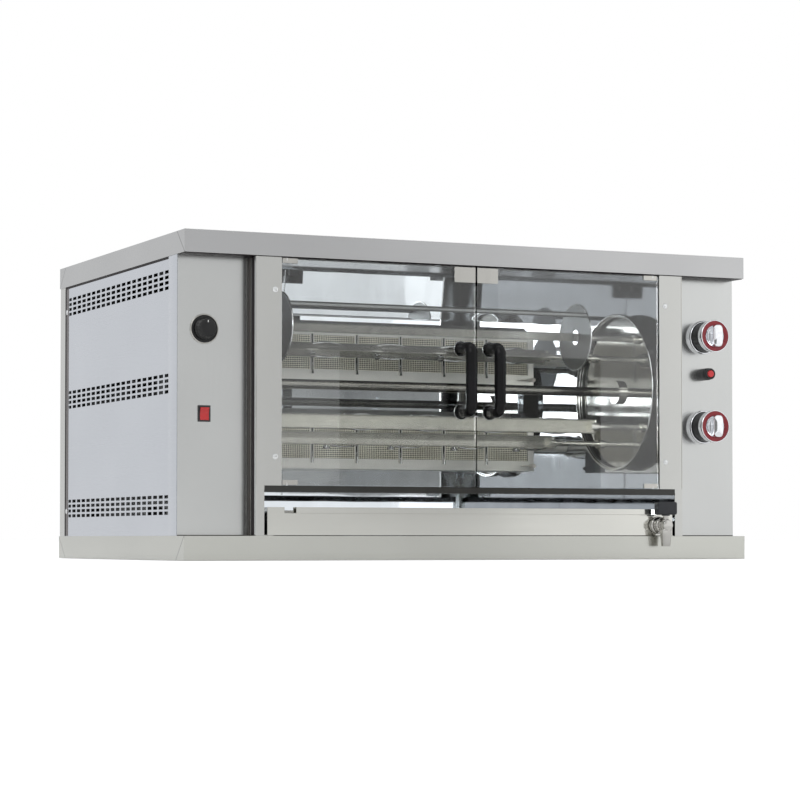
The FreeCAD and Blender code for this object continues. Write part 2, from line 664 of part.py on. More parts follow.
def door(side, label):
    """A frameless glass with its pivot fittings, strike plate and handle."""
    def across(near, far):
        return (side * far, side * near) if side < 0 else (side * near, side * far)
    near = s.door_gap / 2
    far = stile_inner - s.glass_side_gap
    bars, low, high = handle(side)
    handle_x = side * s.handle_inset
    bolt = s.handle_radius / 3
    glass = box(*across(near, far), glass_face, glass_back, glass_low, glass_high)
    shoe_far = pivot_x + 9
    shoe_near = shoe_far - s.shoe_length
    pocket_high = box(*across(shoe_near, far + 2), glass_face - 1, glass_back + 1, glass_high - s.shoe_rise,
                      glass_high + 1)
    pocket_low = box(*across(shoe_near, far + 2), glass_face - 1, glass_back + 1, glass_low - 1,
                     glass_low + s.shoe_rise)
    bolts = [rod("-Y", bolt + s.hole_play, 4 * s.glass_thick, handle_x, glass_back + s.glass_thick, level)
             for level in (low, high)]
    name(label + "_glass", cut(glass, pocket_high, pocket_low, *bolts))
    bolts = [rod("-Y", bolt, s.glass_thick + s.skin, handle_x, glass_back + s.skin, level) for level in (low, high)]
    washers = [rod("+Y", s.handle_washer, s.skin, handle_x, glass_back, level) for level in (low, high)]
    name(label + "_handle", joined(*bars, *bolts, *washers))
    high_shoe = box(*across(shoe_near, shoe_far), glass_face, glass_back, glass_high - s.shoe_rise, glass_high)
    high_bore = rod("-Z", s.pivot_pin_radius + s.pin_fit, s.shoe_rise / 2, side * pivot_x, pivot_y, glass_high)
    low_shoe = box(*across(shoe_near, shoe_far), glass_face, glass_back, glass_low, glass_low + s.shoe_rise)
    low_bore = rod("+Z", s.pivot_pin_radius + s.pin_fit, s.shoe_rise / 2, side * pivot_x, pivot_y, glass_low)
    fittings = [cut(high_shoe, high_bore), cut(low_shoe, low_bore)]
    strike_near = near + 0.5
    fittings.append(box(*across(strike_near, strike_near + s.strike_long), glass_face - s.strike_thick, glass_face,
                        glass_high - s.strike_high, glass_high - 1))
    name(label + "_door_fittings", group(*fittings))


door(-1, "left")
door(1, "right")

# Drip tray: an open pan whose front folds forward into a grip, and its runners.
tray_low = s.base_height + s.tray_lift
tray_high = tray_low + s.tray_height
tray_side = leg_inner - s.tray_side_gap
tray_wall = tray_side - s.tray_body_inset
tray_back = frame_face + s.tray_depth
tray_front = box(-tray_side, tray_side, frame_face, frame_back, tray_low, tray_high)
tray_pan = box(-tray_wall, tray_wall, frame_face, tray_back, tray_low, tray_high)
tray_hollow = box(-tray_wall + s.skin, tray_wall - s.skin, frame_back, tray_back - s.skin, tray_low + s.skin,
                  tray_high + s.skin)
grip_half = s.lip_width / 2
grip = joined(box(-grip_half, grip_half, frame_face - s.lip_reach, frame_face, tray_high - s.skin, tray_high),
              box(-grip_half, grip_half, frame_face - s.lip_reach, frame_face - s.lip_reach + s.skin,
                  tray_high - s.lip_height, tray_high))
notches = [box(low, low + s.notch_width, frame_face - s.skin, frame_back, tray_high - s.lip_height,
               tray_high + s.skin) for low in (-grip_half - 2 - s.notch_width, grip_half + 2)]
tap_hole = rod("+Y", s.tap_body - 2, 4 * s.skin, s.tap_side, frame_face - s.skin, s.tap_level)
name("drip_tray", cut(joined(cut(joined(tray_front, tray_pan), tray_hollow), grip), joined(*notches, tap_hole)))

runner_shelf = tray_low - s.slide_gap
runners = []
for side in (-1, 1):
    def across(near, far):
        return (side * far, side * near) if side < 0 else (side * near, side * far)
    guide = tray_wall + s.slide_gap
    stand = box(*across(guide, guide + s.skin), frame_back + 2 * s.skin, tray_back, s.base_height,
                s.base_height + s.runner_rise)
    shelf = box(*across(guide, wall_inner), frame_back + 2 * s.skin, tray_back, s.base_height,
                s.base_height + s.skin)
    runners.append(joined(stand, shelf))
name("tray_runners", group(*runners))

# Drain tap in the tray's front, with its lever on the stem.
tap_nose = frame_face - s.tap_reach
spout_y = tap_nose + s.tap_body
tap_pieces = [
    rod("-Y", s.tap_flange, 4, s.tap_side, frame_face, s.tap_level),
    rod("-Y", s.tap_body, s.tap_reach - s.tap_body, s.tap_side, frame_face, s.tap_level),
    rod("+Z", s.tap_body, s.lever_low - 4 - s.tap_level + s.tap_body, s.tap_side, spout_y,
        s.tap_level - s.tap_body),
    rod("+Z", s.tap_stem, s.lever_rise / 2, s.tap_side, spout_y, s.lever_low - 4),
    rod("+Y", s.tap_body - 2 - s.hole_play, 3 * s.skin, s.tap_side, frame_face, s.tap_level),
    rod("+Y", s.tap_flange - 3, 3, s.tap_side, frame_back, s.tap_level),
]
spout = taper("-Z", s.tap_spout + 1, s.tap_spout, s.tap_level - s.tap_drop, s.tap_side, spout_y, s.tap_level)
spout_bore = rod("+Z", s.tap_spout - 2, s.tap_level - s.tap_drop, s.tap_side, spout_y, s.tap_drop - 1)
inlet_bore = rod("-Y", s.tap_spout - 2, s.tap_reach - s.tap_body + 9, s.tap_side, frame_back + 4, s.tap_level)
name("drain_tap", cut(joined(*tap_pieces, spout), joined(spout_bore, inlet_bore)))

stem_bore = s.tap_stem + s.pin_fit
lever_half = s.lever_width / 2
lever_outline = [(-s.lever_length / 2, -lever_half + 4), (-s.lever_length / 2 + 4, -lever_half),
                 (s.lever_length / 2 - 4, -lever_half), (s.lever_length / 2, -lever_half + 4),
                 (s.lever_length / 2, lever_half - 4), (s.lever_length / 2 - 4, lever_half),
                 (-s.lever_length / 2 + 4, lever_half), (-s.lever_length / 2, lever_half - 4)]
lever = extruded("lever_body", "XY_Plane", lever_outline, s.lever_rise)
place(lever, s.tap_side, spout_y, s.lever_low)
lever_bore = rod("+Z", stem_bore, s.lever_rise / 2, s.tap_side, spout_y, s.lever_low - 2)
name("tap_lever", cut(lever, lever_bore))

# Rotor: a through shaft in two flanged bearings, with a dished wheel at each end.
wheel_left = -wall_inner + s.wheel_gap
wheel_right = wall_inner - s.wheel_gap
shaft_reach = wall_outer + 3
rotor_shaft = rod("+X", s.shaft_radius, shaft_reach * 2 + 30, -shaft_reach - 30, axis_y, axis_z)
name("rotor_shaft", rotor_shaft)
planet_centre = s.gear_module * (s.sun_teeth + s.planet_teeth) / 2
spindle_hole = s.spindle_radius + s.hole_play
spit_angles = [s.spit_lead - dim(k) * 360 / s.spit_count for k in range(4)]
spit_places = [(axis_y - planet_centre * cosine(angle), axis_z + planet_centre * sine(angle))
               for angle in spit_angles]


def wheel(label, along, x):
    """A polished disc with a rolled rim; the plate is at x and the rim and hub run along the signed axis."""
    bore = s.shaft_radius
    inner = s.wheel_radius - s.wheel_rim_wall
    profile = [(bore, 0), (s.wheel_radius - 1.5, 0), (s.wheel_radius, 1.5), (s.wheel_radius, s.wheel_rim - 1.5),
               (s.wheel_radius - 1.5, s.wheel_rim), (inner - 3, s.wheel_rim), (inner - 3, s.wheel_rim - 2),
               (inner, s.wheel_rim - 2), (inner, s.wheel_plate), (s.hub_radius, s.wheel_plate),
               (s.hub_radius, s.hub_long), (bore, s.hub_long)]
    disc = turned(label + "_disc", profile)
    place(disc, x, axis_y, axis_z, ALONG[along])
    start = x - s.wheel_rim if along == "-X" else x - s.wheel_plate
    holes = [rod("+X", spindle_hole, 2 * s.wheel_rim, start, y, z) for y, z in spit_places]
    name(label, cut(disc, *holes))


wheel("left_wheel", "+X", wheel_left)
wheel("right_wheel", "-X", wheel_right)

bearing_profile = [(s.shaft_radius + s.pin_fit, -3), (s.bearing_collar, -3), (s.bearing_collar, s.skin),
                   (s.bearing_radius, s.skin), (s.bearing_radius, s.skin + s.bearing_flange),
                   (s.shaft_radius + s.pin_fit, s.skin + s.bearing_flange)]
left_bearing = turned("left_bearing", bearing_profile)
place(left_bearing, -wall_outer, axis_y, axis_z, ALONG["+X"])
right_bearing = turned("right_bearing", bearing_profile)
place(right_bearing, wall_outer, axis_y, axis_z, ALONG["-X"])
name("shaft_bearings", group(left_bearing, right_bearing))


def gear_outline(teeth, module, thinning, turn):
    """Points of an involute gear with 20 degree flanks, its first tooth centred at the angle turn."""
    pitch = module * teeth / 2
    base = pitch * math.cos(math.radians(20))
    tip = pitch + 0.85 * module
    root = pitch - 1.15 * module

    def involute(radius):
        lean = math.acos(min(1.0, base / radius))
        return math.tan(lean) - lean

    half_tooth = math.pi / (2 * teeth) - thinning / (2 * pitch)
    start = max(base, root)
    points = []
    for tooth in range(teeth):
        centre = turn + 2 * math.pi * tooth / teeth
        flank = []
        for step in range(6):
            radius = start + (tip - start) * step / 5
            lean = half_tooth + involute(pitch) - involute(radius)
            flank.append((radius, lean))
        if root < base:
            flank.insert(0, (root, flank[0][1]))
        for radius, lean in flank:
            points.append(V(radius * math.cos(centre - lean), radius * math.sin(centre - lean), 0))
        for radius, lean in reversed(flank):
            points.append(V(radius * math.cos(centre + lean), radius * math.sin(centre + lean), 0))
    return points


def gear_solid(teeth, turn, width, bore):
    """A gear blank in its own YZ plane that starts at x = 0 and is width thick, with a round bore."""
    points = gear_outline(teeth, float(s.gear_module), float(s.tooth_play), turn)
    ring = [V(0, point.x, point.y) for point in points]
    face = Part.Face(Part.makePolygon(ring + [ring[0]]))
    blank = face.extrude(V(width, 0, 0))
    return blank.cut(Part.makeCylinder(bore, 3 * width, V(-width, 0, 0), V(1, 0, 0)))


# Sun gear: fixed to the left partition by four studs, with room for the bearing in its middle.
gear_x = -wall_inner + s.gear_side_gap
sun = doc.addObject("Part::Feature", "sun_ring")
sun.Shape = gear_solid(int(float(s.sun_teeth)), 0.0, float(s.gear_width), float(s.sun_bore))
place(sun, gear_x, axis_y, axis_z)
stud_radius = (s.sun_bore + s.gear_module * s.sun_teeth / 2 - 6) / 2
studs = []
for quarter in range(4):
    angle = dim(45 + 90 * quarter)
    studs.append(rod("+X", 4, s.gear_side_gap + s.gear_width + 1, -wall_inner, axis_y + stud_radius * cosine(angle),
                     axis_z + stud_radius * sine(angle)))
name("sun_gear", joined(sun, *studs))


def facing(angle):
    """Rotation about X that turns +Y to the given angle towards +Z."""
    return FreeCAD.Rotation(V(1, 0, 0), angle)


def tooth_phase(direction):
    """Where a planet's tooth points when it meshes with the sun's teeth in this direction, in radians."""
    sun_teeth = float(s.sun_teeth)
    planet_teeth = float(s.planet_teeth)
    return direction + math.pi + direction * sun_teeth / planet_teeth + math.pi / planet_teeth


bar_turns = [45, 135, 110, -45]
for index, (spit_y, spit_z) in enumerate(spit_places):
    number = index + 1
    direction = math.atan2(float(spit_z - axis_z), float(spit_y - axis_y))
    # Planet gear with its spindle through the left wheel and the socket that the spit's bar plugs into.
    gear = doc.addObject("Part::Feature", f"planet_ring_{number}")
    gear.Shape = gear_solid(int(float(s.planet_teeth)), tooth_phase(direction), float(s.gear_width),
                            float(s.spindle_radius) - 0.5)
    place(gear, gear_x, spit_y, spit_z)
    socket_x = -s.spit_left - s.socket_long / 4
    spindle = rod("+X", s.spindle_radius, socket_x - gear_x, gear_x, spit_y, spit_z)
    socket = rod("+X", s.socket_radius, s.socket_long, socket_x, spit_y, spit_z)
    seat = s.spit_leg / 2 + 0.4
    socket_bore = rod("+X", s.socket_radius - 2, s.socket_long, -s.spit_left - 0.3, spit_y, spit_z)
    name(f"planet_gear_{number}", cut(joined(gear, spindle, socket), socket_bore))

    # Spit: an angle bar with a round tenon in the socket and a cup and spindle at its right end.
    offset = s.spit_leg * 0.3
    corner = -offset
    outline = [(corner, corner), (corner + s.spit_leg, corner), (corner + s.spit_leg, corner + s.spit_thick),
               (corner + s.spit_thick, corner + s.spit_thick), (corner + s.spit_thick, corner + s.spit_leg),
               (corner, corner + s.spit_leg)]
    bar_start = -s.spit_left + s.socket_long
    bar = extruded(f"spit_bar_{number}", "YZ_Plane", outline, s.spit_right - bar_start)
    place(bar, bar_start, spit_y, spit_z, facing(bar_turns[index]))
    tenon = rod("+X", s.socket_radius - 2 - s.hole_play, s.socket_long + 4, -s.spit_left, spit_y, spit_z)
    cup = rod("+X", s.cup_radius, s.cup_long, s.spit_right - s.cup_long / 2, spit_y, spit_z)
    end_x = wheel_right + 2
    pin = rod("+X", s.spindle_radius, end_x - s.spit_right, s.spit_right, spit_y, spit_z)
    collar = rod("+X", s.nut_radius, s.nut_long, wheel_right - s.wheel_plate - s.nut_long - 0.2, spit_y, spit_z)
    setscrew = rod("+Z", 3, s.cup_radius + 4, s.spit_right + s.cup_long / 4, spit_y, spit_z)
    name(f"spit_{number}", joined(bar, tenon, cup, pin, collar, setscrew))

# End discs of the first spit, tied by a rod beside the bar.
y1, z1 = spit_places[0]
disc_pieces = []
bar_room = s.spit_leg * 0.762 + 0.3
for x in (-s.disc_left, s.disc_right):
    disc = rod("+X", s.disc_radius, s.disc_thick, x, y1, z1)
    hole = rod("+X", bar_room, 3 * s.disc_thick, x - s.disc_thick, y1, z1)
    disc_pieces.append(cut(disc, hole))
tie = rod("+X", s.tie_radius, s.disc_right + s.disc_left + s.disc_thick, -s.disc_left, y1 - s.tie_near, z1 + s.tie_up)
name("spit_discs", joined(*disc_pieces, tie))


def fork(screw_on_left):
    """A fork at the origin, in the bar's own frame: an angle clip on the outside of the bar's two legs, a prong
    along the edge of each leg, and a thumb screw on one of them."""
    inner = -s.spit_leg * 0.3 - s.fork_play
    outer = inner - s.fork_wall
    end = s.spit_leg * 0.55
    outline = [(outer, outer), (end, outer), (end, inner), (inner, inner), (inner, end), (outer, end)]
    clip = extruded("fork_clip", "YZ_Plane", outline, s.fork_clip)
    prong_line = inner - s.prong_radius - 0.05
    prong_edge = end - s.prong_radius
    pieces = [clip]
    for y, z in ((prong_edge, prong_line), (prong_line, prong_edge)):
        pieces.append(taper("+X", s.prong_radius, 0.8, s.prong_long, s.fork_clip - 2, y, z))
    middle = s.fork_clip / 2
    if screw_on_left:
        pieces.append(rod("-Y", s.screw_stem, 9, middle, outer + 0.5, 0))
        pieces.append(rod("-Y", s.screw_wing, 4, middle, outer - 6, 0))
    else:
        pieces.append(rod("-Z", s.screw_stem, 9, middle, 0, outer + 0.5))
        pieces.append(rod("-Z", s.screw_wing, 4, middle, 0, outer - 6))
    return joined(*pieces)


fork_starts = {2: -234, 3: -197, 4: -222}
for number, start in fork_starts.items():
    spit_y, spit_z = spit_places[number - 1]
    master = fork(number == 3)
    turn = facing(bar_turns[number - 1])
    pieces = [twin(master, dim(start) + s.fork_pitch * step, spit_y, spit_z, turn) for step in range(4)]
    name(f"forks_{number}", group(*pieces))

# Burners: a housing across the rear wall for each row of ceramic plaques, with its mixer tube.
plaque_span = s.plaque_pitch * s.plaque_count
burner_half = plaque_span / 2 + s.burner_end
burner_face = rear_wall_face - s.burner_depth
mixer_end = frame_side + 10
housings = []
plaques = []
clips = []
hoods = []
for level, mixer_z in zip((s.burner_low, s.burner_high), mixer_levels):
    shell = box(-burner_half, burner_half, burner_face, rear_wall_face, level - s.burner_flange,
                level + s.plaque_height + s.burner_edge)
    chamber = box(-burner_half + s.skin, burner_half - s.skin, burner_face + s.skin, rear_wall_face - s.skin,
                  level - s.burner_flange + s.skin, level + s.plaque_height + s.burner_edge - s.skin)
    window = box(-plaque_span / 2, plaque_span / 2, burner_face - s.skin, burner_face + 2 * s.skin, level,
                 level + s.plaque_height)
    tube = rod("+X", s.mixer_radius, mixer_end - burner_half + s.skin, burner_half - s.skin, mixer_y, mixer_z)
    bell = taper("+X", s.mixer_radius, s.mixer_bell, 16, mixer_end, mixer_y, mixer_z)
    throat = rod("+X", s.mixer_radius - 2, mixer_end + 40 - burner_half, burner_half - 2 * s.skin, mixer_y, mixer_z)
    housings.append(cut(joined(cut(shell, joined(chamber, window)), tube, bell), throat))
    for step in range(7):
        x = s.plaque_pitch * step - plaque_span / 2
        plaques.append(box(x + s.plaque_gap / 2, x + s.plaque_pitch - s.plaque_gap / 2, burner_face,
                           burner_face + s.plaque_thick, level, level + s.plaque_height))
        if step:
            clips.append(box(x - s.clip_width / 2, x + s.clip_width / 2, burner_face - s.skin, burner_face,
                             level - s.clip_width, level + s.plaque_height + s.burner_edge / 2))
    hood_low = level + s.plaque_height + s.burner_edge
    slope = [(burner_face, hood_low), (burner_face + s.skin, hood_low), (rear_wall_face, hood_low + s.hood_rise),
             (rear_wall_face, hood_low + s.hood_rise + s.skin), (rear_wall_face - s.skin, hood_low + s.hood_rise
              + s.skin), (burner_face, hood_low + s.skin)]
    sheet_body = extruded("hood", "YZ_Plane", slope, burner_half * 2, midplane=True)
    hoods.append(sheet_body)
name("burner_housings", group(*housings, *clips))
name("burner_plaques", group(*plaques))
name("burner_hoods", group(*hoods))

# Spark electrodes: a ceramic rod on a bracket at the right end of each burner, with a bent wire.
electrodes = []
for level in (s.burner_low, s.burner_high):
    x = plaque_span / 2 + s.burner_end / 2
    z = level - s.burner_flange / 2
    body = rod("-Y", 4, 16, x, burner_face, z)
    wire = rod("-X", 1, 30, x + 1, burner_face - 12, z)
    electrodes.append(joined(body, wire))
name("spark_electrodes", group(*electrodes))

# Gas train in the right-hand box: inlet, riser, manifold, one valve for each burner and its pipe and jet.
valve_y = panel_back + 22
jet_x = mixer_end + 20
pipe_x = s.knob_column - 15 - 2 * s.pipe_radius
jet_half = s.jet_radius + 2
manifold_y = valve_y + 16 + s.manifold_radius
valves = []
pipes = []
for level, mixer_z in zip((s.gas_low, s.gas_high), mixer_levels):
    valves.append(joined(
        box(s.knob_column - 15, s.knob_column + 15, valve_y - 14, valve_y + 16, level - 15, level + 15),
        rod("-Y", 12, valve_y - 14 - panel_back, s.knob_column, valve_y - 14, level),
        rod("-Y", s.stem_radius, valve_y - panel_face + s.gas_bezel + 10, s.knob_column, valve_y, level)))
    low_end = mixer_z - jet_half
    high_end = level + jet_half
    if float(level) < float(mixer_z):
        low_end = level - jet_half
        high_end = mixer_z + jet_half
    pipes.append(joined(
        rod("-X", s.pipe_radius, s.knob_column - 15 - pipe_x, s.knob_column - 15, valve_y, level),
        elbow(pipe_x, valve_y, level, s.pipe_radius + 0.8),
        rod("+Y", s.pipe_radius, mixer_y - valve_y, pipe_x, valve_y, level),
        elbow(pipe_x, mixer_y, level, s.pipe_radius + 0.8),
        rod("-X", s.pipe_radius, pipe_x - jet_x, pipe_x, mixer_y, level),
        box(jet_x, jet_x + 7, mixer_y - jet_half, mixer_y + jet_half, low_end, high_end),
        taper("-X", s.jet_radius, 3, 10, jet_x, mixer_y, mixer_z)))
name("gas_valves", group(*valves))
riser = rod("+Z", s.manifold_radius, s.gas_high + 24 - s.inlet_level, s.knob_column, manifold_y, s.inlet_level)
supply = rod("+Y", s.manifold_radius, cover_back - s.skin - 2 - manifold_y, s.knob_column, manifold_y,
             s.inlet_level)
foot = elbow(s.knob_column, manifold_y, s.inlet_level, s.manifold_radius + 0.8)
stub = rod("+Y", s.inlet_radius, s.inlet_long + 2 * s.skin, inlet_x, cover_back - s.skin, s.inlet_level)
stub_flange = rod("-Y", s.inlet_radius + 6, 5, inlet_x, cover_back - s.skin, s.inlet_level)
stub_collar = rod("+Y", s.inlet_radius + 4, s.skin, inlet_x, cover_back, s.inlet_level)
stub_bore = rod("+Y", s.inlet_radius - 3, s.inlet_long + 4 * s.skin, inlet_x, cover_back - s.skin, s.inlet_level)
name("gas_pipework", group(*pipes, cut(joined(riser, supply, foot, stub, stub_flange, stub_collar), stub_bore)))

# Controls: bezels fixed to the panels, and the knobs that turn on their stems.
bezels = []
for x, level, radius, thick in ((s.knob_column, s.gas_low, s.gas_radius, s.gas_bezel),
                                (s.knob_column, s.gas_high, s.gas_radius, s.gas_bezel),
                                (-s.dial_column, s.dial_level, s.dial_radius, s.dial_bezel)):
    ring = rod("-Y", radius, thick, x, panel_face, level)
    well = rod("-Y", radius - 3, thick, x, panel_face - s.skin, level)
    stem_hole = rod("+Y", s.stem_radius + s.hole_play, 4 * s.skin, x, panel_face - 2 * s.skin, level)
    bezels.append(cut(ring, joined(well, stem_hole)))
name("knob_bezels", group(*bezels))


def gas_knob(label, level):
    """A knob that turns inside its bezel, with a wedge grip across its face."""
    waist_start = s.skin + 0.4
    profile = [(0, waist_start), (s.gas_waist, waist_start), (s.gas_waist, s.gas_waist_end),
               (s.gas_skirt, s.gas_waist_end + 2), (s.gas_skirt, s.gas_face - 1.5),
               (s.gas_skirt - 1.5, s.gas_face), (0, s.gas_face)]
    disc = turned(label + "_disc", profile)
    place(disc, s.knob_column, panel_face, level, ALONG["-Y"])
    wing = box(s.knob_column - s.gas_wing / 2, s.knob_column + s.gas_wing / 2, panel_face - s.gas_reach,
               panel_face - s.gas_face + 1, level - s.gas_skirt + 7, level + s.gas_skirt - 7)
    bore = rod("-Y", s.stem_radius + s.pin_fit, s.gas_bezel + 10.3, s.knob_column, panel_face, level)
    name(label, cut(joined(disc, wing), bore))


gas_knob("gas_knob_upper", s.gas_high)
gas_knob("gas_knob_lower", s.gas_low)

dial_start = s.skin + 0.4
dial_disc = turned("dial_disc", [(0, dial_start), (s.dial_grip, dial_start), (s.dial_grip, s.dial_bezel + 6),
                                 (s.dial_grip - 3, s.dial_reach - 1), (s.dial_grip - 5, s.dial_reach),
                                 (0, s.dial_reach)])
place(dial_disc, -s.dial_column, panel_face, s.dial_level, ALONG["-Y"])
dial_bore = rod("-Y", s.stem_radius + s.pin_fit, s.dial_bezel + 10.3, -s.dial_column, panel_face, s.dial_level)
name("speed_dial", cut(dial_disc, dial_bore))
dial_stem = rod("-Y", s.stem_radius, s.skin + s.dial_bezel + 10, -s.dial_column, panel_back, s.dial_level)
dial_body = box(-s.dial_column - 15, -s.dial_column + 15, panel_back, panel_back + 18, s.dial_level - 15,
                s.dial_level + 15)
name("speed_controller", joined(dial_stem, dial_body))

# Rocker switch: a frame let into the panel, and the rocker that tips in it about a cross axis.
frame_x = -s.dial_column
half_w = s.switch_width / 2
half_h = s.switch_height / 2
rim = box(frame_x - half_w, frame_x + half_w, panel_face - 2, panel_face, s.switch_level - half_h,
          s.switch_level + half_h)
neck_w = half_w - s.switch_rim - s.hole_play
neck_h = half_h - s.switch_rim - s.hole_play
neck = box(frame_x - neck_w, frame_x + neck_w, panel_face, panel_face + s.switch_depth,
           s.switch_level - neck_h, s.switch_level + neck_h)
bay = box(frame_x - neck_w + 1.5, frame_x + neck_w - 1.5, panel_face - 3, panel_face + 14,
          s.switch_level - neck_h + 1.5, s.switch_level + neck_h - 1.5)
name("switch_frame", cut(joined(rim, neck), bay))
rocker_w = neck_w - 1.5 - 0.35
rocker_h = neck_h - 1.5 - 1.2
rocker_outline = [(2, -rocker_h), (4, 0), (2, rocker_h), (-3.4, rocker_h), (-2, 0), (-3.4, -rocker_h)]
rocker = extruded("rocker_body", "YZ_Plane", rocker_outline, rocker_w * 2, midplane=True)
place(rocker, frame_x, panel_face - 1.2, s.switch_level, facing(8))
rocker_pin = rod("+X", 1.2, neck_w * 2 - 3, frame_x - neck_w + 1.5, panel_face - 1.2, s.switch_level)
name("rocker", joined(rocker, rocker_pin))

# Piezo igniter: a body behind the panel with a collar in front, and its sprung button.
collar_profile = [(s.button_radius + 0.3, -s.igniter_collar), (s.igniter_radius, -s.igniter_collar),
                  (s.igniter_radius, 0), (s.button_radius + 1, 0), (s.button_radius + 1, 36), (0, 36), (0, 20),
                  (s.button_radius + 0.3, 20)]
igniter = turned("igniter_shell", collar_profile)
place(igniter, s.knob_column, panel_face, s.igniter_level, ALONG["+Y"])
name("igniter_body", igniter)
button = rod("-Y", s.button_radius, s.button_reach + 8, s.knob_column, panel_face + 8, s.igniter_level)
name("igniter_button", button)

# Drive: a gearmotor on the outer face of the left partition, its output on the rotor shaft.
box_half = s.gearbox_side / 2
gearbox_right = -wall_outer - 6
gearbox = box(gearbox_right - s.gearbox_long, gearbox_right, axis_y - box_half, axis_y + box_half, axis_z - box_half,
              axis_z + box_half)
feet = [rod("+X", 5, 6, gearbox_right, axis_y + dy * (box_half - 8), axis_z + dz * (box_half - 8))
        for dy in (-1, 1) for dz in (-1, 1)]
motor = rod("-X", s.motor_radius, s.motor_long, gearbox_right - s.gearbox_long, axis_y, axis_z)
output = rod("-X", s.shaft_radius + s.pin_fit, 40, -wall_outer, axis_y, axis_z)
name("gearmotor", cut(joined(gearbox, motor, *feet), output))

# Power inlet in the rear cover, left-hand side.
inlet_shell = joined(box(-inlet_x - 13.9, -inlet_x + 13.9, cover_back - 22, cover_back + s.skin,
                         s.inlet_level - 10.9, s.inlet_level + 10.9),
                     box(-inlet_x - 20, -inlet_x + 20, cover_back, cover_back + s.skin, s.inlet_level - 14,
                         s.inlet_level + 14))
inlet_bay = box(-inlet_x - 11.9, -inlet_x + 11.9, cover_back - 16, cover_back + 3 * s.skin, s.inlet_level - 8.9,
                s.inlet_level + 8.9)
blades = [box(-inlet_x + dx - 1, -inlet_x + dx + 1, cover_back - 17, cover_back - 3, s.inlet_level + dz - 2,
              s.inlet_level + dz + 2) for dx, dz in ((-6, -1), (0, 3), (6, -1))]
name("power_inlet", joined(cut(inlet_shell, inlet_bay), *blades))

# Panel screws, all alike: two in each stile, two in each side cover, four in the rear cover.
master = turned("screw_master", [(0, 0), (s.screw_shank, 0), (s.screw_shank, s.screw_long),
                                 (s.head_radius, s.screw_long), (s.head_radius * 0.94, s.screw_long
                                 + s.head_rise * 0.45), (s.head_radius * 0.6, s.screw_long + s.head_rise * 0.88),
                                 (0, s.screw_long + s.head_rise)])
screws = []
for side in (-1, 1):
    for level in (s.stile_screw_low, s.stile_screw_high):
        screws.append(twin(master, side * (stile_inner + s.stile_screw_inset), frame_face + s.screw_long, level,
                           ALONG["-Y"]))
    for level in (s.side_screw_low, s.side_screw_high):
        screws.append(twin(master, side * (inside - s.screw_long), side_back - s.side_screw_inset, level,
                           ALONG["-X" if side < 0 else "+X"]))
        screws.append(twin(master, side * (inside - s.rear_screw_inset), cover_back - s.screw_long, level,
                           ALONG["+Y"]))
name("panel_screws", group(*screws))

doc.recompute()
faults = [item.Label for item in doc.Objects if {"Invalid", "Error"} & set(item.State)]
for piece in parts:
    shape = piece.Shape
    if shape.isNull() or not shape.isValid() or not shape.Solids:
        faults.append(piece.Label)
if faults:
    raise RuntimeError("these objects failed: " + ", ".join(sorted(set(faults))))
os.makedirs("parts", exist_ok=True)
for piece in parts:
    piece.Shape.exportStep(os.path.join("parts", piece.Label + ".step"))
print(len(parts), "parts,", sum(len(piece.Shape.Solids) for piece in parts), "solids")
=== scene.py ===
"""Looks for the chicken rotisserie: rounded sheet metal, knobs, handles, tap, forks, burners and their finishes.

All lengths in the lists are millimetres, and surface() turns them into metres. X right, Y back, Z up.
Tones and staging were tuned by sample points against one photo, so they are no measured values.
"""
import math

import bmesh
import bpy
import numpy as np
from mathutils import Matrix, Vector


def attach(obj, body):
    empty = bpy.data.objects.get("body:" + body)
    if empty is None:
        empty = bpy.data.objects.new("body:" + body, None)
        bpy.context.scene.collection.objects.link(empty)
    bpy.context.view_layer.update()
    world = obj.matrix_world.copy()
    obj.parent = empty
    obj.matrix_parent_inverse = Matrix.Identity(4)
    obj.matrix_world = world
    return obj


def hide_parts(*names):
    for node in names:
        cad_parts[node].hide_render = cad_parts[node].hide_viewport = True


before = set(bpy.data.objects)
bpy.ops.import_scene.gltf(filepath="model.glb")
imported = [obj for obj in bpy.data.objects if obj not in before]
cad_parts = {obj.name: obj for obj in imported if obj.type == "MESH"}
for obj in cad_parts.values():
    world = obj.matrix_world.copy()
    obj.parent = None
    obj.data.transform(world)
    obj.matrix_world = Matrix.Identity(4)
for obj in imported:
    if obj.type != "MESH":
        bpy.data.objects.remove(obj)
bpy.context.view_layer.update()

MM = 0.001
PANEL = -343.0  # Y of the control panels' faces
HALF_DEPTH = 385.0  # of the cap and the base
END_FACE = 589.0  # X beyond which a point is on an end of the cap or the base
CAP_FOOT = 558.0
BASE_TOP = 45.0
ROTOR = (-163.0, 338.5)  # Y and Z of the rotor's shaft
SPITS = {1: (-239.14, 441.39), 2: (-265.9, 262.4), 3: (-86.86, 235.61), 4: (-60.11, 414.64)}
CONTROLS_LEFT = -537.0  # X of the dial and the switch
CONTROLS_RIGHT = 519.0  # X of the gas knobs and the igniter
TAP = (395.0, -380.0, 66.0)
SPINDLE = (395.0, -409.0)  # X and Y of the tap's upright axis


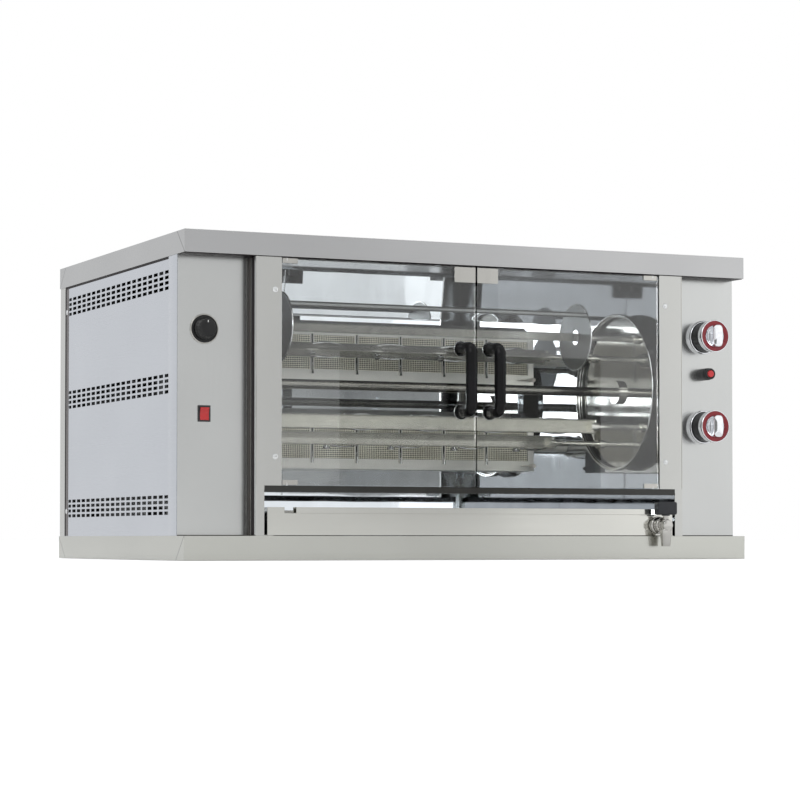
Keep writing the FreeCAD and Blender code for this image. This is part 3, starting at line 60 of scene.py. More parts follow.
# Finishes.
class Paint:
    """The node tree of one finish, built up around its Principled shader."""

    def __init__(self, title, colour, metallic=0.0, roughness=0.5, **sockets):
        self.material = bpy.data.materials.new(title)
        self.material.use_nodes = True
        self.tree = self.material.node_tree
        self.shader = self.tree.nodes["Principled BSDF"]
        self.shader.inputs["Base Color"].default_value = (*colour, 1)
        self.shader.inputs["Metallic"].default_value = metallic
        self.shader.inputs["Roughness"].default_value = roughness
        for socket, value in sockets.items():
            self.shader.inputs[socket.replace("_", " ")].default_value = value
        self.place = self.node("ShaderNodeTexCoord").outputs["Object"]
        self.height = None

    def node(self, kind, **settings):
        made = self.tree.nodes.new(kind)
        for setting, value in settings.items():
            setattr(made, setting, value)
        return made

    def link(self, source, target):
        self.tree.links.new(source, target)

    def noise(self, scale, detail=3.0, stretch=(1, 1, 1), distortion=0.0):
        """Noise over the object's own millimetres; stretch gives lines of grain."""
        mapping = self.node("ShaderNodeMapping")
        mapping.inputs["Scale"].default_value = [scale * s for s in stretch]
        noise = self.node("ShaderNodeTexNoise")
        noise.inputs["Scale"].default_value = 1.0
        noise.inputs["Detail"].default_value = detail
        noise.inputs["Distortion"].default_value = distortion
        self.link(self.place, mapping.inputs["Vector"])
        self.link(mapping.outputs["Vector"], noise.inputs["Vector"])
        return noise.outputs["Fac"]

    def spread(self, source, low, high, start=0.3, stop=0.7):
        """A value that runs from low to high as the source runs from start to stop."""
        ramp = self.node("ShaderNodeMapRange")
        for socket, value in (("From Min", start), ("From Max", stop), ("To Min", low), ("To Max", high)):
            ramp.inputs[socket].default_value = value
        self.link(source, ramp.inputs["Value"])
        return ramp.outputs["Result"]

    def tones(self, source, dark, light, start=0.3, stop=0.7):
        """Base colour that runs from dark to light with the source."""
        ramp = self.node("ShaderNodeValToRGB")
        ramp.color_ramp.elements[0].position = start
        ramp.color_ramp.elements[0].color = (*dark, 1)
        ramp.color_ramp.elements[1].position = stop
        ramp.color_ramp.elements[1].color = (*light, 1)
        self.link(source, ramp.inputs["Fac"])
        self.link(ramp.outputs["Color"], self.shader.inputs["Base Color"])
        return ramp

    def rough(self, source, low, high):
        self.link(self.spread(source, low, high), self.shader.inputs["Roughness"])

    def bump(self, source, depth, strength=1.0):
        """Relief of this many millimetres from the source, on top of any relief before it."""
        bump = self.node("ShaderNodeBump")
        bump.inputs["Strength"].default_value = strength
        bump.inputs["Distance"].default_value = depth * MM
        self.link(source, bump.inputs["Height"])
        if self.height is not None:
            self.link(self.height, bump.inputs["Normal"])
        self.height = bump.outputs["Normal"]
        self.link(self.height, self.shader.inputs["Normal"])


def mitre_seams(paint, colour, corner_level, downward):
    """Draws the mitred corners of a skirt's ends as a darker colour, with no relief: on the faces at the far left
    and right, the points whose distance from the end of the depth equals their height above (or below) the
    corner's level."""
    place = paint.node("ShaderNodeSeparateXYZ")
    paint.link(paint.place, place.inputs["Vector"])

    def sum_of(operation, first, second):
        made = paint.node("ShaderNodeMath", operation=operation)
        for socket, value in zip(made.inputs, (first, second)):
            if isinstance(value, (int, float)):
                socket.default_value = value
            else:
                paint.link(value, socket)
        return made.outputs[0]

    depth = sum_of("ABSOLUTE", place.outputs["Y"], 0.0)
    height = place.outputs["Z"]
    inset = sum_of("SUBTRACT", HALF_DEPTH * MM, depth)
    ends = (corner_level * MM, height) if downward else (height, corner_level * MM)
    rise = sum_of("SUBTRACT", *ends)
    off = sum_of("ABSOLUTE", sum_of("SUBTRACT", inset, rise), 0.0)
    on_end = sum_of("GREATER_THAN", sum_of("ABSOLUTE", place.outputs["X"], 0.0), END_FACE * MM)
    line = sum_of("MULTIPLY", paint.spread(off, 0.72, 0.0, 0.7 * MM, 1.8 * MM), on_end)
    shade = paint.node("ShaderNodeMix", data_type="RGBA")
    shade.inputs["B"].default_value = (0.10, 0.10, 0.10, 1)
    paint.link(line, shade.inputs["Factor"])
    paint.link(colour, shade.inputs["A"])
    paint.link(shade.outputs["Result"], paint.shader.inputs["Base Color"])


def brushed(title, stretch, dark, light, low, high, depth=0.003, mitre=None):
    """Stainless sheet with fine grain lines one way and broad soft clouds."""
    paint = Paint(title, light, metallic=1.0)
    lines = paint.noise(1.0, 4.0, stretch)
    clouds = paint.noise(3.2, 2.0)
    ramp = paint.tones(clouds, dark, light, 0.25, 0.75)
    if mitre:
        mitre_seams(paint, ramp.outputs["Color"], *mitre)
    paint.rough(lines, low, high)
    paint.bump(lines, depth, 0.35)
    paint.bump(paint.noise(3.0, 1.0), 0.25, 0.4)
    return paint.material


GRAIN_X, GRAIN_Y, GRAIN_Z = (5, 1600, 1600), (1600, 5, 1600), (1600, 1600, 5)
# These are one stainless steel in different grain and polish. The differences in their tones are painted light and
# shade, lighter on faces that are lit more and darker on those lit less, and the sides' blue tint is a painted
# reflection.
steel_level = brushed("brushed_steel_level", GRAIN_X, (0.52, 0.52, 0.50), (0.58, 0.58, 0.56), 0.17, 0.23)
steel_cap = brushed("brushed_steel_cap", GRAIN_X, (0.435, 0.435, 0.435), (0.485, 0.485, 0.485), 0.17, 0.23,
                    mitre=(CAP_FOOT, False))
steel_base = brushed("brushed_steel_base", GRAIN_X, (0.51, 0.51, 0.475), (0.56, 0.56, 0.52), 0.17, 0.23,
                     mitre=(BASE_TOP, True))
steel_upright = brushed("brushed_steel_upright", GRAIN_Z, (0.515, 0.52, 0.51), (0.565, 0.57, 0.56), 0.18, 0.25)
steel_stile = brushed("brushed_steel_stile", GRAIN_Z, (0.505, 0.505, 0.485), (0.55, 0.55, 0.53), 0.18, 0.25)
steel_side = brushed("brushed_steel_side", GRAIN_Y, (0.54, 0.56, 0.60), (0.59, 0.61, 0.65), 0.20, 0.28)
steel_tray = brushed("tray_steel", (6, 1400, 1400), (0.57, 0.565, 0.53), (0.63, 0.625, 0.585), 0.09, 0.14, 0.002)


def mirror(title, colour, low, high, wave, metallic=1.0):
    """Bright sheet: nearly a mirror, with slow waves in it and faint wipe marks."""
    paint = Paint(title, colour, metallic=metallic)
    smears = paint.noise(22.0, 5.0, (1, 1, 0.35), 0.6)
    paint.tones(smears, [c * 0.93 for c in colour], colour, 0.3, 0.6)
    paint.rough(smears, low, high)
    paint.bump(paint.noise(7.0, 1.0), wave, 0.6)
    return paint.material


# The darker of these stand in for the darker room that the photo's steel reflects.
mirror_wall = mirror("mirror_wall", (0.72, 0.74, 0.765), 0.015, 0.045, 0.35)
partition_steel = mirror("partition_steel", (0.38, 0.39, 0.405), 0.02, 0.06, 0.35)
tap_chrome = mirror("tap_chrome", (0.50, 0.49, 0.465), 0.03, 0.09, 0.05)
bright_wall = mirror("bright_wall", (0.90, 0.94, 0.98), 0.01, 0.03, 0.25)
bright_steel = mirror("bright_steel", (0.70, 0.71, 0.71), 0.06, 0.12, 0.1)
wheel_steel = mirror("wheel_steel", (0.38, 0.38, 0.36), 0.05, 0.10, 0.2)
disc_steel = mirror("disc_steel", (0.25, 0.26, 0.26), 0.30, 0.40, 0.1)
spit_steel = mirror("spit_steel", (0.66, 0.655, 0.61), 0.10, 0.20, 0.1, 0.8)
housing_steel = mirror("housing_steel", (0.72, 0.715, 0.68), 0.30, 0.44, 0.1, 0.6)
rod_steel = mirror("rod_steel", (0.27, 0.265, 0.24), 0.14, 0.24, 0.05)


def chrome_plate():
    paint = Paint("chrome", (0.80, 0.81, 0.83), metallic=1.0)
    marks = paint.noise(160.0, 3.0)
    paint.rough(marks, 0.03, 0.075)
    paint.tones(marks, (0.74, 0.75, 0.77), (0.84, 0.85, 0.87))
    paint.bump(marks, 0.004, 0.4)
    return paint.material


def door_glass():
    """Clear float glass, faintly green in its depth; lamps reach through it to what is behind."""
    paint = Paint("door_glass", (0.975, 0.985, 0.98), roughness=0.0, IOR=1.5, Transmission_Weight=1.0)
    paint.rough(paint.noise(60.0, 4.0), 0.0, 0.012)
    output = paint.tree.nodes["Material Output"]
    mix = paint.node("ShaderNodeMixShader")
    clear = paint.node("ShaderNodeBsdfTransparent")
    clear.inputs["Color"].default_value = (0.93, 0.95, 0.94, 1)
    rays = paint.node("ShaderNodeLightPath")
    paint.link(rays.outputs["Is Shadow Ray"], mix.inputs["Fac"])
    paint.link(paint.shader.outputs["BSDF"], mix.inputs[1])
    paint.link(clear.outputs["BSDF"], mix.inputs[2])
    paint.link(mix.outputs["Shader"], output.inputs["Surface"])
    return paint.material


def moulded(title, dark, light, low, high, grain, depth, **sockets):
    """Moulded plastic: a fine spark-eroded grain and slight wear in the gloss. The same recipe also makes the dark
    strips that are painted shade and painted reflection.
    """
    paint = Paint(title, light, **sockets)
    fine = paint.noise(grain, 3.0)
    worn = paint.noise(18.0, 3.0)
    paint.tones(worn, dark, light)
    paint.rough(worn, low, high)
    paint.bump(fine, depth, 0.8)
    return paint.material


def plaque_clay():
    """Burner plaque: fine rows of round holes in fired clay, browned here and there. The holes are painted dark, as
    painted shade inside them, and dip by a bump.
    """
    paint = Paint("plaque_clay", (0.30, 0.29, 0.25), roughness=0.9)
    cells = paint.node("ShaderNodeTexVoronoi")
    cells.inputs["Scale"].default_value = 250.0
    cells.inputs["Randomness"].default_value = 0.05
    paint.link(paint.place, cells.inputs["Vector"])
    holes = paint.spread(cells.outputs["Distance"], 0.0, 1.0, 0.30, 0.46)
    scorch = paint.noise(14.0, 4.0)
    shade = paint.node("ShaderNodeMix", data_type="RGBA")
    ramp = paint.tones(scorch, (0.60, 0.56, 0.46), (0.88, 0.86, 0.74), 0.3, 0.62)
    paint.link(ramp.outputs["Color"], shade.inputs["B"])
    shade.inputs["A"].default_value = (0.10, 0.095, 0.07, 1)
    paint.link(holes, shade.inputs["Factor"])
    paint.link(shade.outputs["Result"], paint.shader.inputs["Base Color"])
    paint.bump(holes, 0.5, 0.8)
    return paint.material


chrome = chrome_plate()
glass = door_glass()
handle_black = moulded("handle_black", (0.0028, 0.0028, 0.003), (0.005, 0.005, 0.006), 0.16, 0.26, 900.0, 0.004,
                       Specular_IOR_Level=0.16)
dial_black = moulded("dial_black", (0.006, 0.006, 0.006), (0.012, 0.012, 0.012), 0.16, 0.26, 1400.0, 0.010,
                     Specular_IOR_Level=0.3)
# Near-black used for dark seams, for strips that are painted shadow in gaps, and for painted reflection of a dark room
# on the stiles' side flanges.
seams_shade_and_reflection_black = moulded("seams_shade_and_reflection_black", (0.008, 0.006, 0.007), (0.016, 0.012, 0.013), 0.30, 0.42, 700.0, 0.004,
                    Specular_IOR_Level=0.05)
# Dark brown: painted reflection of a dark room on the stiles' side flanges.
flange_reflection_brown = moulded("flange_reflection_brown", (0.026, 0.022, 0.019), (0.050, 0.043, 0.038), 0.34, 0.46, 500.0, 0.006,
                     Specular_IOR_Level=0.15)
# Grey-brown: painted shade in the recess at the rear of the side covers.
recess_shade_grey = moulded("recess_shade_grey", (0.105, 0.095, 0.094), (0.150, 0.138, 0.136), 0.34, 0.46, 500.0, 0.006,
                      Specular_IOR_Level=0.2)
black_plastic = moulded("black_plastic", (0.008, 0.008, 0.009), (0.016, 0.016, 0.017), 0.30, 0.45, 1400.0, 0.012)
lever_black = moulded("lever_black", (0.007, 0.008, 0.010), (0.013, 0.014, 0.018), 0.38, 0.52, 1500.0, 0.015)
# Black for the dark joints between burner plaques; on the sill rail the same black is painted shade on the recessed
# rail.
black_enamel = moulded("black_enamel", (0.010, 0.010, 0.008), (0.016, 0.016, 0.013), 0.10, 0.18, 400.0, 0.012)
red_plastic = moulded("red_plastic", (0.36, 0.018, 0.022), (0.47, 0.028, 0.032), 0.20, 0.30, 900.0, 0.008)
rocker_red = moulded("rocker_red", (0.30, 0.012, 0.014), (0.40, 0.020, 0.020), 0.16, 0.26, 900.0, 0.006)
red_band = moulded("red_band", (0.15, 0.006, 0.011), (0.21, 0.010, 0.016), 0.22, 0.34, 700.0, 0.006)
white_mark = moulded("white_mark", (0.62, 0.62, 0.60), (0.72, 0.72, 0.70), 0.4, 0.5, 900.0, 0.006)
dull_chrome = mirror("dull_chrome", (0.50, 0.49, 0.46), 0.10, 0.20, 0.05)
brass = mirror("brass", (0.64, 0.47, 0.20), 0.16, 0.28, 0.05)
pipe_metal = mirror("pipe_aluminium", (0.70, 0.70, 0.71), 0.28, 0.40, 0.05)
gear_metal = mirror("gear_steel", (0.42, 0.41, 0.40), 0.24, 0.36, 0.03)
motor_paint = moulded("motor_paint", (0.060, 0.066, 0.074), (0.085, 0.092, 0.100), 0.38, 0.5, 500.0, 0.03)
white_clay = moulded("electrode_clay", (0.66, 0.63, 0.57), (0.76, 0.74, 0.69), 0.35, 0.5, 300.0, 0.02)
plaque = plaque_clay()

# The sill rail's black finish is painted shade on the recessed rail.
NODE_FINISH = {
    "top_cap": steel_cap, "base_pan": steel_base, "drip_tray": steel_tray, "sill_rail": black_enamel,
    "left_side_cover": steel_side, "right_side_cover": steel_side, "rear_cover": steel_level,
    "left_control_panel": steel_upright, "right_control_panel": steel_upright, "door_stiles": steel_stile,
    "lintel": bright_steel, "left_partition": partition_steel, "right_partition": partition_steel,
    "rear_wall": mirror_wall,
    "pivot_pins": bright_steel, "catch_magnets": black_plastic, "left_glass": glass, "right_glass": glass,
    "left_handle": handle_black, "right_handle": handle_black, "left_door_fittings": dull_chrome,
    "right_door_fittings": dull_chrome, "tray_runners": steel_level, "drain_tap": tap_chrome, "tap_lever": lever_black,
    "rotor_shaft": rod_steel, "left_wheel": wheel_steel, "right_wheel": wheel_steel, "shaft_bearings": brass,
    "sun_gear": gear_metal, "spit_discs": disc_steel, "forks_2": spit_steel, "forks_3": spit_steel,
    "forks_4": spit_steel, "burner_housings": housing_steel, "burner_plaques": plaque, "burner_hoods": bright_steel,
    "spark_electrodes": white_clay, "gas_valves": brass, "gas_pipework": pipe_metal, "knob_bezels": chrome,
    "gas_knob_upper": chrome, "gas_knob_lower": chrome, "speed_dial": black_plastic,
    "speed_controller": black_plastic, "switch_frame": black_plastic, "rocker": red_plastic,
    "igniter_body": black_plastic, "igniter_button": red_plastic, "gearmotor": motor_paint,
    "power_inlet": black_plastic, "panel_screws": bright_steel,
}
for number in range(1, 5):
    NODE_FINISH[f"planet_gear_{number}"] = gear_metal
    NODE_FINISH[f"spit_{number}"] = spit_steel
for node, coat in NODE_FINISH.items():
    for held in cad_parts[node].material_slots:
        held.material = coat


# Shapes.
def eased(corners, radius, steps=5, closed=False):
    """An outline with its corners rounded: at each corner the line follows the quadratic curve between a
    point `radius` before the corner and one `radius` after it."""
    corner = np.asarray(corners, float)
    before = np.roll(corner, 1, axis=0) - corner
    after = np.roll(corner, -1, axis=0) - corner
    back = np.linalg.norm(before, axis=1, keepdims=True)
    ahead = np.linalg.norm(after, axis=1, keepdims=True)
    reach = np.minimum(np.broadcast_to(np.asarray(radius, float).reshape(-1, 1), back.shape),
                       0.48 * np.minimum(back, ahead))
    start = corner + before / back * reach
    end = corner + after / ahead * reach
    t = np.linspace(0, 1, steps)[None, :, None]
    curve = (1 - t) ** 2 * start[:, None] + 2 * t * (1 - t) * corner[:, None] + t ** 2 * end[:, None]
    if not closed:
        curve[0] = corner[0]
        curve[-1] = corner[-1]
    return curve.reshape(-1, corner.shape[1])


def faces_of(grid, around, ring, ends, first):
    """The four-cornered faces between the points of a grid whose first point has the number `first`."""
    rows, columns = grid.shape[:2]
    index = np.arange(rows * columns).reshape(rows, columns) + first
    caps = [index[0][::-1].tolist(), index[-1].tolist()] if ends else []
    if ring:
        index = np.concatenate([index, index[:1]])
    if around:
        index = np.concatenate([index, index[:, :1]], axis=1)
    quads = np.stack([index[:-1, :-1], index[:-1, 1:], index[1:, 1:], index[1:, :-1]], axis=-1).reshape(-1, 4)
    return quads.tolist() + caps


def surface(title, grids, coat, body, around=True, ring=False, ends=False, sharp=38.0, replaces=(), slot=None):
    """A mesh through one or more grids of points, rows by columns. `around` joins each row's end to its start,
    `ring` joins the last row to the first, and `ends` fills the first and last rows."""
    grids = grids if isinstance(grids, list) else [grids]
    starts = np.cumsum([0] + [grid.shape[0] * grid.shape[1] for grid in grids])
    points = np.concatenate([grid.reshape(-1, 3) for grid in grids]) * MM
    faces = sum((faces_of(grid, around, ring, ends, first) for grid, first in zip(grids, starts)), [])
    mesh = bpy.data.meshes.new(title)
    mesh.from_pydata(points.tolist(), [], faces)
    return piece(title, mesh, coat, body, sharp, replaces)


def piece(title, mesh, coat, body, sharp=38.0, replaces=()):
    """Merges doubled points, turns faces outwards, smooths, and gives the finish and the body."""
    work = bmesh.new()
    work.from_mesh(mesh)
    bmesh.ops.remove_doubles(work, verts=work.verts, dist=2e-6)
    bmesh.ops.dissolve_degenerate(work, edges=work.edges, dist=1e-7)
    bmesh.ops.recalc_face_normals(work, faces=work.faces)
    work.to_mesh(mesh)
    work.free()
    mesh.shade_smooth()
    mesh.set_sharp_from_angle(angle=math.radians(sharp))
    mesh.materials.clear()
    mesh.materials.append(coat)
    made = bpy.data.objects.new(title, mesh)
    bpy.context.scene.collection.objects.link(made)
    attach(made, body)
    if replaces:
        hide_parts(*replaces)
    return made


AXES = {"-Y": ((0, -1, 0), (1, 0, 0), (0, 0, 1)), "+Y": ((0, 1, 0), (-1, 0, 0), (0, 0, 1)),
        "+X": ((1, 0, 0), (0, 1, 0), (0, 0, 1)), "-X": ((-1, 0, 0), (0, -1, 0), (0, 0, 1)),
        "+Z": ((0, 0, 1), (1, 0, 0), (0, 1, 0)), "-Z": ((0, 0, -1), (-1, 0, 0), (0, 1, 0))}


def turned_grid(profile, origin, along, sections=64, wobble=None):
    """Points of a profile of (radius, distance) turned about an axis: at the angle a the point is the origin
    plus distance times the axis plus radius times (cos a, sin a). `wobble` scales the radius by angle."""
    axis, side, up = (np.array(v, float) for v in AXES[along])
    profile = np.asarray(profile, float)
    angle = np.linspace(0, 2 * np.pi, sections, endpoint=False)
    radius = profile[:, 0][:, None] * (wobble(angle)[None, :] if wobble else np.ones((1, sections)))
    ring = np.cos(angle)[:, None] * side + np.sin(angle)[:, None] * up
    return np.asarray(origin, float) + profile[:, 1][:, None, None] * axis + radius[..., None] * ring[None]


def turned(title, profile, origin, along, coat, body, sections=64, ring=False, **rest):
    """A piece turned from its profile."""
    return surface(title, turned_grid(profile, origin, along, sections), coat, body, ring=ring, **rest)


def swept_grid(path, outline, flat, scale=None):
    """Points of an outline carried along a path that lies in a plane with the normal `flat`: each path point
    plus the outline's two distances along the path's own normal and along `flat`. Doubled path points have no
    direction and are dropped first."""
    path = np.asarray(path, float)
    outline = np.asarray(outline, float)
    scale = np.ones(len(path)) if scale is None else np.asarray(scale, float)
    moved = np.linalg.norm(np.diff(path, axis=0), axis=1) > 1e-6
    path, scale = path[np.append(True, moved)], scale[np.append(True, moved)]
    tangent = np.gradient(path, axis=0)
    tangent /= np.linalg.norm(tangent, axis=1, keepdims=True)
    flat = np.broadcast_to(np.asarray(flat, float), path.shape)
    normal = np.cross(flat, tangent)
    return (path[:, None] + scale[:, None, None] * (outline[None, :, 0, None] * normal[:, None]
                                                    + outline[None, :, 1, None] * flat[:, None]))


def circle(radius, count=32):
    angle = np.linspace(0, 2 * np.pi, count, endpoint=False)
    return np.stack([radius * np.cos(angle), radius * np.sin(angle)], axis=1)


def rounded_block(title, low, high, radius, coat, body, count=48, **rest):
    """A block whose every edge is rounded: an eased rectangle at each of a row of levels, drawn in near the top
    and the bottom by radius (1 - sin a) at the depth radius (1 - cos a)."""
    low, high = np.asarray(low, float), np.asarray(high, float)
    half = (high - low) / 2
    outline = eased([(-half[0], -half[1]), (half[0], -half[1]), (half[0], half[1]), (-half[0], half[1])], radius,
                    6, closed=True)
    rise = np.linspace(0, np.pi / 2, 5)
    inset = radius * (1 - np.sin(rise))
    sunk = half[2] - radius * (1 - np.cos(rise))
    level = np.concatenate([-sunk, sunk[::-1]])
    inset = np.concatenate([inset, inset[::-1]])
    shrink = np.stack([1 - inset / half[0], 1 - inset / half[1]], axis=1)
    grid = np.zeros((len(level), len(outline), 3))
    grid[..., :2] = outline[None] * shrink[:, None]
    grid[..., 2] = level[:, None]
    return surface(title, grid + (low + high) / 2, coat, body, ends=True, **rest)


def softened(node, width, coat, body, segments=2):
    """The node's own sheet metal with its bends and edges rounded by a bevel."""
    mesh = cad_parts[node].data.copy()
    mesh.name = node + "_rounded"
    work = bmesh.new()
    work.from_mesh(mesh)
    bmesh.ops.remove_doubles(work, verts=work.verts, dist=2e-6)
    bmesh.ops.dissolve_limit(work, angle_limit=math.radians(0.5), verts=work.verts, edges=work.edges)
    work.to_mesh(mesh)
    work.free()
    mesh.shade_smooth()
    mesh.set_sharp_from_angle(angle=math.radians(50))
    mesh.materials.clear()
    mesh.materials.append(coat)
    made = bpy.data.objects.new(node + "_rounded", mesh)
    bpy.context.scene.collection.objects.link(made)
    bevel = made.modifiers.new("rounded_edges", "BEVEL")
    bevel.width = width * MM
    bevel.segments = segments
    bevel.limit_method = "ANGLE"
    bevel.angle_limit = math.radians(40)
    bevel.harden_normals = True
    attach(made, body)
    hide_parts(node)
    return made


# Cabinet sheets.
for node, width in (("top_cap", 0.7), ("base_pan", 0.7), ("door_stiles", 0.7), ("left_control_panel", 0.6),
                    ("right_control_panel", 0.6)):
    softened(node, width, NODE_FINISH[node], "cabinet")
softened("drip_tray", 0.6, steel_tray, "tray")


def strip(title, low, high, coat, ease=0.12):
    """A thin strip with its edges eased: an eased rectangle carried straight along the strip's longest side."""
    low, high = np.array(low, float), np.array(high, float)
    size = high - low
    run = int(np.argmax(size))
    across = [axis for axis in range(3) if axis != run]
    outline = eased([(low[across[0]], low[across[1]]), (high[across[0]], low[across[1]]),
                     (high[across[0]], high[across[1]]), (low[across[0]], high[across[1]])], ease, 4, closed=True)
    stations = np.array([low[run], low[run] + ease, high[run] - ease, high[run]])
    grid = np.zeros((4, len(outline), 3))
    grid[..., run] = stations[:, None]
    grid[..., across[0]] = outline[None, :, 0]
    grid[..., across[1]] = outline[None, :, 1]
    return surface(title, grid, coat, "cabinet", ends=True)


# Seams, folded returns and painted strips at the edges of the sheets: the dark strips in the gaps and the rear recess
# are painted shadow, those on the stiles' side flanges are painted reflection, and the bright one on each fold is a
# painted highlight.
# Painted shadow in the gap under the cap's front lip.
strip("cap_lip_shadow", (-588.0, -383.0, 557.2), (588.0, -344.2, 557.95), seams_shade_and_reflection_black)
for side in (-1, 1):
    label = "left" if side < 0 else "right"

    def pair(part_name, near, far, y0, y1, z0, z1, coat):
        """A strip on this side, between two distances from the middle."""
        x0, x1 = sorted((near * side, far * side))
        strip(f"{label}_{part_name}", (x0, y0, z0), (x1, y1, z1), coat)

    # Painted reflection: two dark strips on each stile's side flange stand in for the dark room that the polished
    # flange reflects. The brighter steel strip on the fold is a painted highlight of the bend.
    pair("stile_flange_reflection_rear", 449.9, 450.45, -352.8, -343.2, 45.6, 557.0, flange_reflection_brown)
    pair("stile_flange_reflection_front", 449.9, 450.45, -373.2, -356.2, 45.6, 557.0, seams_shade_and_reflection_black)
    pair("stile_bend_highlight", 449.9, 450.35, -379.6, -373.6, 45.6, 557.0, bright_steel)
    pair("stile_edge", 448.4, 449.8, -380.3, -379.9, 137.5, 557.0, dull_chrome)
    pair("panel_foot_seam", 450.6, 588.3, -343.35, -342.9, 45.1, 46.6, seams_shade_and_reflection_black)
    pair("panel_return", 588.4, 589.35, -341.4, -296.0, 45.4, 557.8, steel_side)
    # Painted shadow in the gap between the cap's skirt and the side cover.
    pair("cap_side_gap_shadow", 588.4, 588.9, -295.8, 348.0, 553.6, 557.9, seams_shade_and_reflection_black)
    # Painted shade in the recess and the gap at the rear of each side cover.
    pair("rear_shade_band", 588.4, 588.75, 326.8, 341.0, 45.6, 553.4, recess_shade_grey)
    pair("rear_gap_shadow", 588.4, 588.8, 341.2, 349.8, 45.6, 553.4, seams_shade_and_reflection_black)

# Door handles.
for side, body in ((-1, "left_door"), (1, "right_door")):
    label = "left" if side < 0 else "right"
    x = 30.0 * side
    corners = [(x, -376.2, 280), (x, -384, 280), (x, -418, 280), (x, -418, 400), (x, -384, 400), (x, -376.2, 400)]
    path = eased(corners, [1, 2, 20, 20, 2, 1], 14)
    swell = 1 + 0.03 * np.exp(-((path[:, 1] + 376.2) / 1.5) ** 2)
    surface(f"{label}_handle_bar", swept_grid(path, circle(11, 40), (1, 0, 0), swell), handle_black, body, ends=True,
            replaces=(f"{label}_handle",), slot="black_plastic")
    for level in (280, 400):
        washer = eased([(0, 0), (15, 0), (15, 1.5), (0, 1.5)], [0.1, 0.5, 0.5, 0.1], 4)
        turned(f"{label}_handle_washer_{level}", washer, (x, -371.0, level), "+Y", bright_steel, body, 40)
        nut = eased([(0, 1.5), (5.5, 1.5), (5.5, 3.0), (4.6, 4.2), (0, 4.4)], [0.1, 0.3, 0.5, 0.5, 0.1], 4)
        turned(f"{label}_handle_screw_{level}", nut, (x, -371.0, level), "+Y", bright_steel, body, 32)

# Gas knobs.
gas_bezel = eased([(27.0, 0), (33.5, 0), (33.5, 7.4), (31.8, 9), (30.6, 9), (27.6, 3.5)],
                  [0.2, 0.3, 1.2, 0.5, 0.3, 0.3], 5, closed=True)
for label, level in (("upper", 441.0), ("lower", 262.0)):
    body = f"{label}_gas_knob"
    origin = (CONTROLS_RIGHT, PANEL, level)
    waist = eased([(0, 2), (29.6, 2), (29.6, 33), (27.5, 35), (0, 35)], [0.1, 0.5, 1, 0.8, 0.1], 5)
    turned(f"{label}_knob_waist", waist, origin, "-Y", black_plastic, body, 72)
    skirt = eased([(26, 33.5), (30.6, 33.5), (31.4, 36), (32, 46), (32, 49), (31, 50), (30.2, 50), (29.6, 47)],
                  [0.3, 0.8, 1.5, 1, 0.7, 0.4, 0.3, 0.3], 5, closed=True)
    turned(f"{label}_knob_skirt", skirt, origin, "-Y", chrome, body, 72, ring=True)
    band = eased([(20.6, 46.5), (30.4, 46.5), (30.4, 49.2), (29.6, 49.7), (22.4, 49.2), (20.6, 47.8)], 0.4, 4,
                 closed=True)
    turned(f"{label}_knob_red_ring", band, origin, "-Y", red_band, body, 72, ring=True)
    bowl = eased([(0, 41.5), (12, 42.2), (18, 45.0), (21.2, 48.2), (21.2, 38), (0, 38)],
                 [0.1, 6, 4, 0.6, 0.5, 0.1], 7)
    turned(f"{label}_knob_bowl", bowl, origin, "-Y", chrome, body, 72)

    # Grip: a superellipse whose long half is the height; it narrows from the face outwards and its flanks are
    # hollowed by a cosine over the height.
    out = np.array([43.0, 47.0, 51.0, 55.0, 58.5, 61.0, 61.8, 62.0])
    wide = np.array([8.4, 8.2, 8.6, 9.6, 10.8, 11.4, 11.0, 10.0])
    tall = np.array([20.4, 20.4, 20.6, 21.0, 21.4, 21.4, 20.8, 19.6])
    angle = np.linspace(0, 2 * np.pi, 72, endpoint=False)
    squareness = 0.62
    cx = np.sign(np.cos(angle)) * np.abs(np.cos(angle)) ** squareness
    cz = np.sign(np.sin(angle)) * np.abs(np.sin(angle)) ** squareness
    hollow = 1 - 0.10 * np.cos(cz * np.pi / 2)
    grid = np.zeros((len(out) + 1, len(angle), 3))
    grid[:-1, :, 0] = wide[:, None] * cx[None] * hollow[None]
    grid[:-1, :, 2] = tall[:, None] * cz[None]
    grid[:-1, :, 1] = -out[:, None]
    grid[-1, :, 1] = -out[-1]
    surface(f"{label}_knob_grip", grid + np.array(origin), chrome, body, ends=True, sharp=50,
            replaces=(f"gas_knob_{label}",), slot="bright_steel")
    turned(f"{label}_knob_bezel", gas_bezel, origin, "-Y", chrome, "cabinet", 80, ring=True,
           replaces=("knob_bezels",) if label == "upper" else ())

# Speed dial.
dial_at = (CONTROLS_LEFT, PANEL, 423.0)
rim = eased([(24.8, 0), (27.6, 0), (27.6, 1.6), (26.8, 2.8), (25.4, 2.8), (24.8, 1.2)], 0.4, 4, closed=True)
turned("dial_rim", rim, dial_at, "-Y", dull_chrome, "cabinet", 72, ring=True)
plate = eased([(4.5, 0), (24.7, 0), (24.7, 1.1), (4.5, 1.1)], 0.3, 4, closed=True)
turned("dial_plate", plate, dial_at, "-Y", dial_black, "cabinet", 72, ring=True)
grip = eased([(0, 3.2), (20.6, 3.2), (21, 5), (20.4, 8.5), (18.8, 9.2), (17.2, 20.5), (15.6, 22), (12.5, 21.3),
              (0, 20.9)], [0.1, 0.5, 0.8, 1, 1.2, 1.2, 1, 1.5, 0.1], 5)
flutes = 18
around_dial = 180
depth = np.clip((grip[:, 1] - 9) / 2.5, 0, 1)[:, None] * np.clip((grip[:, 0] - 11) / 4, 0, 1)[:, None]
dial_grid = turned_grid(grip, (0, 0, 0), "-Y", around_dial)
turn = np.linspace(0, 2 * np.pi, around_dial, endpoint=False)[None]
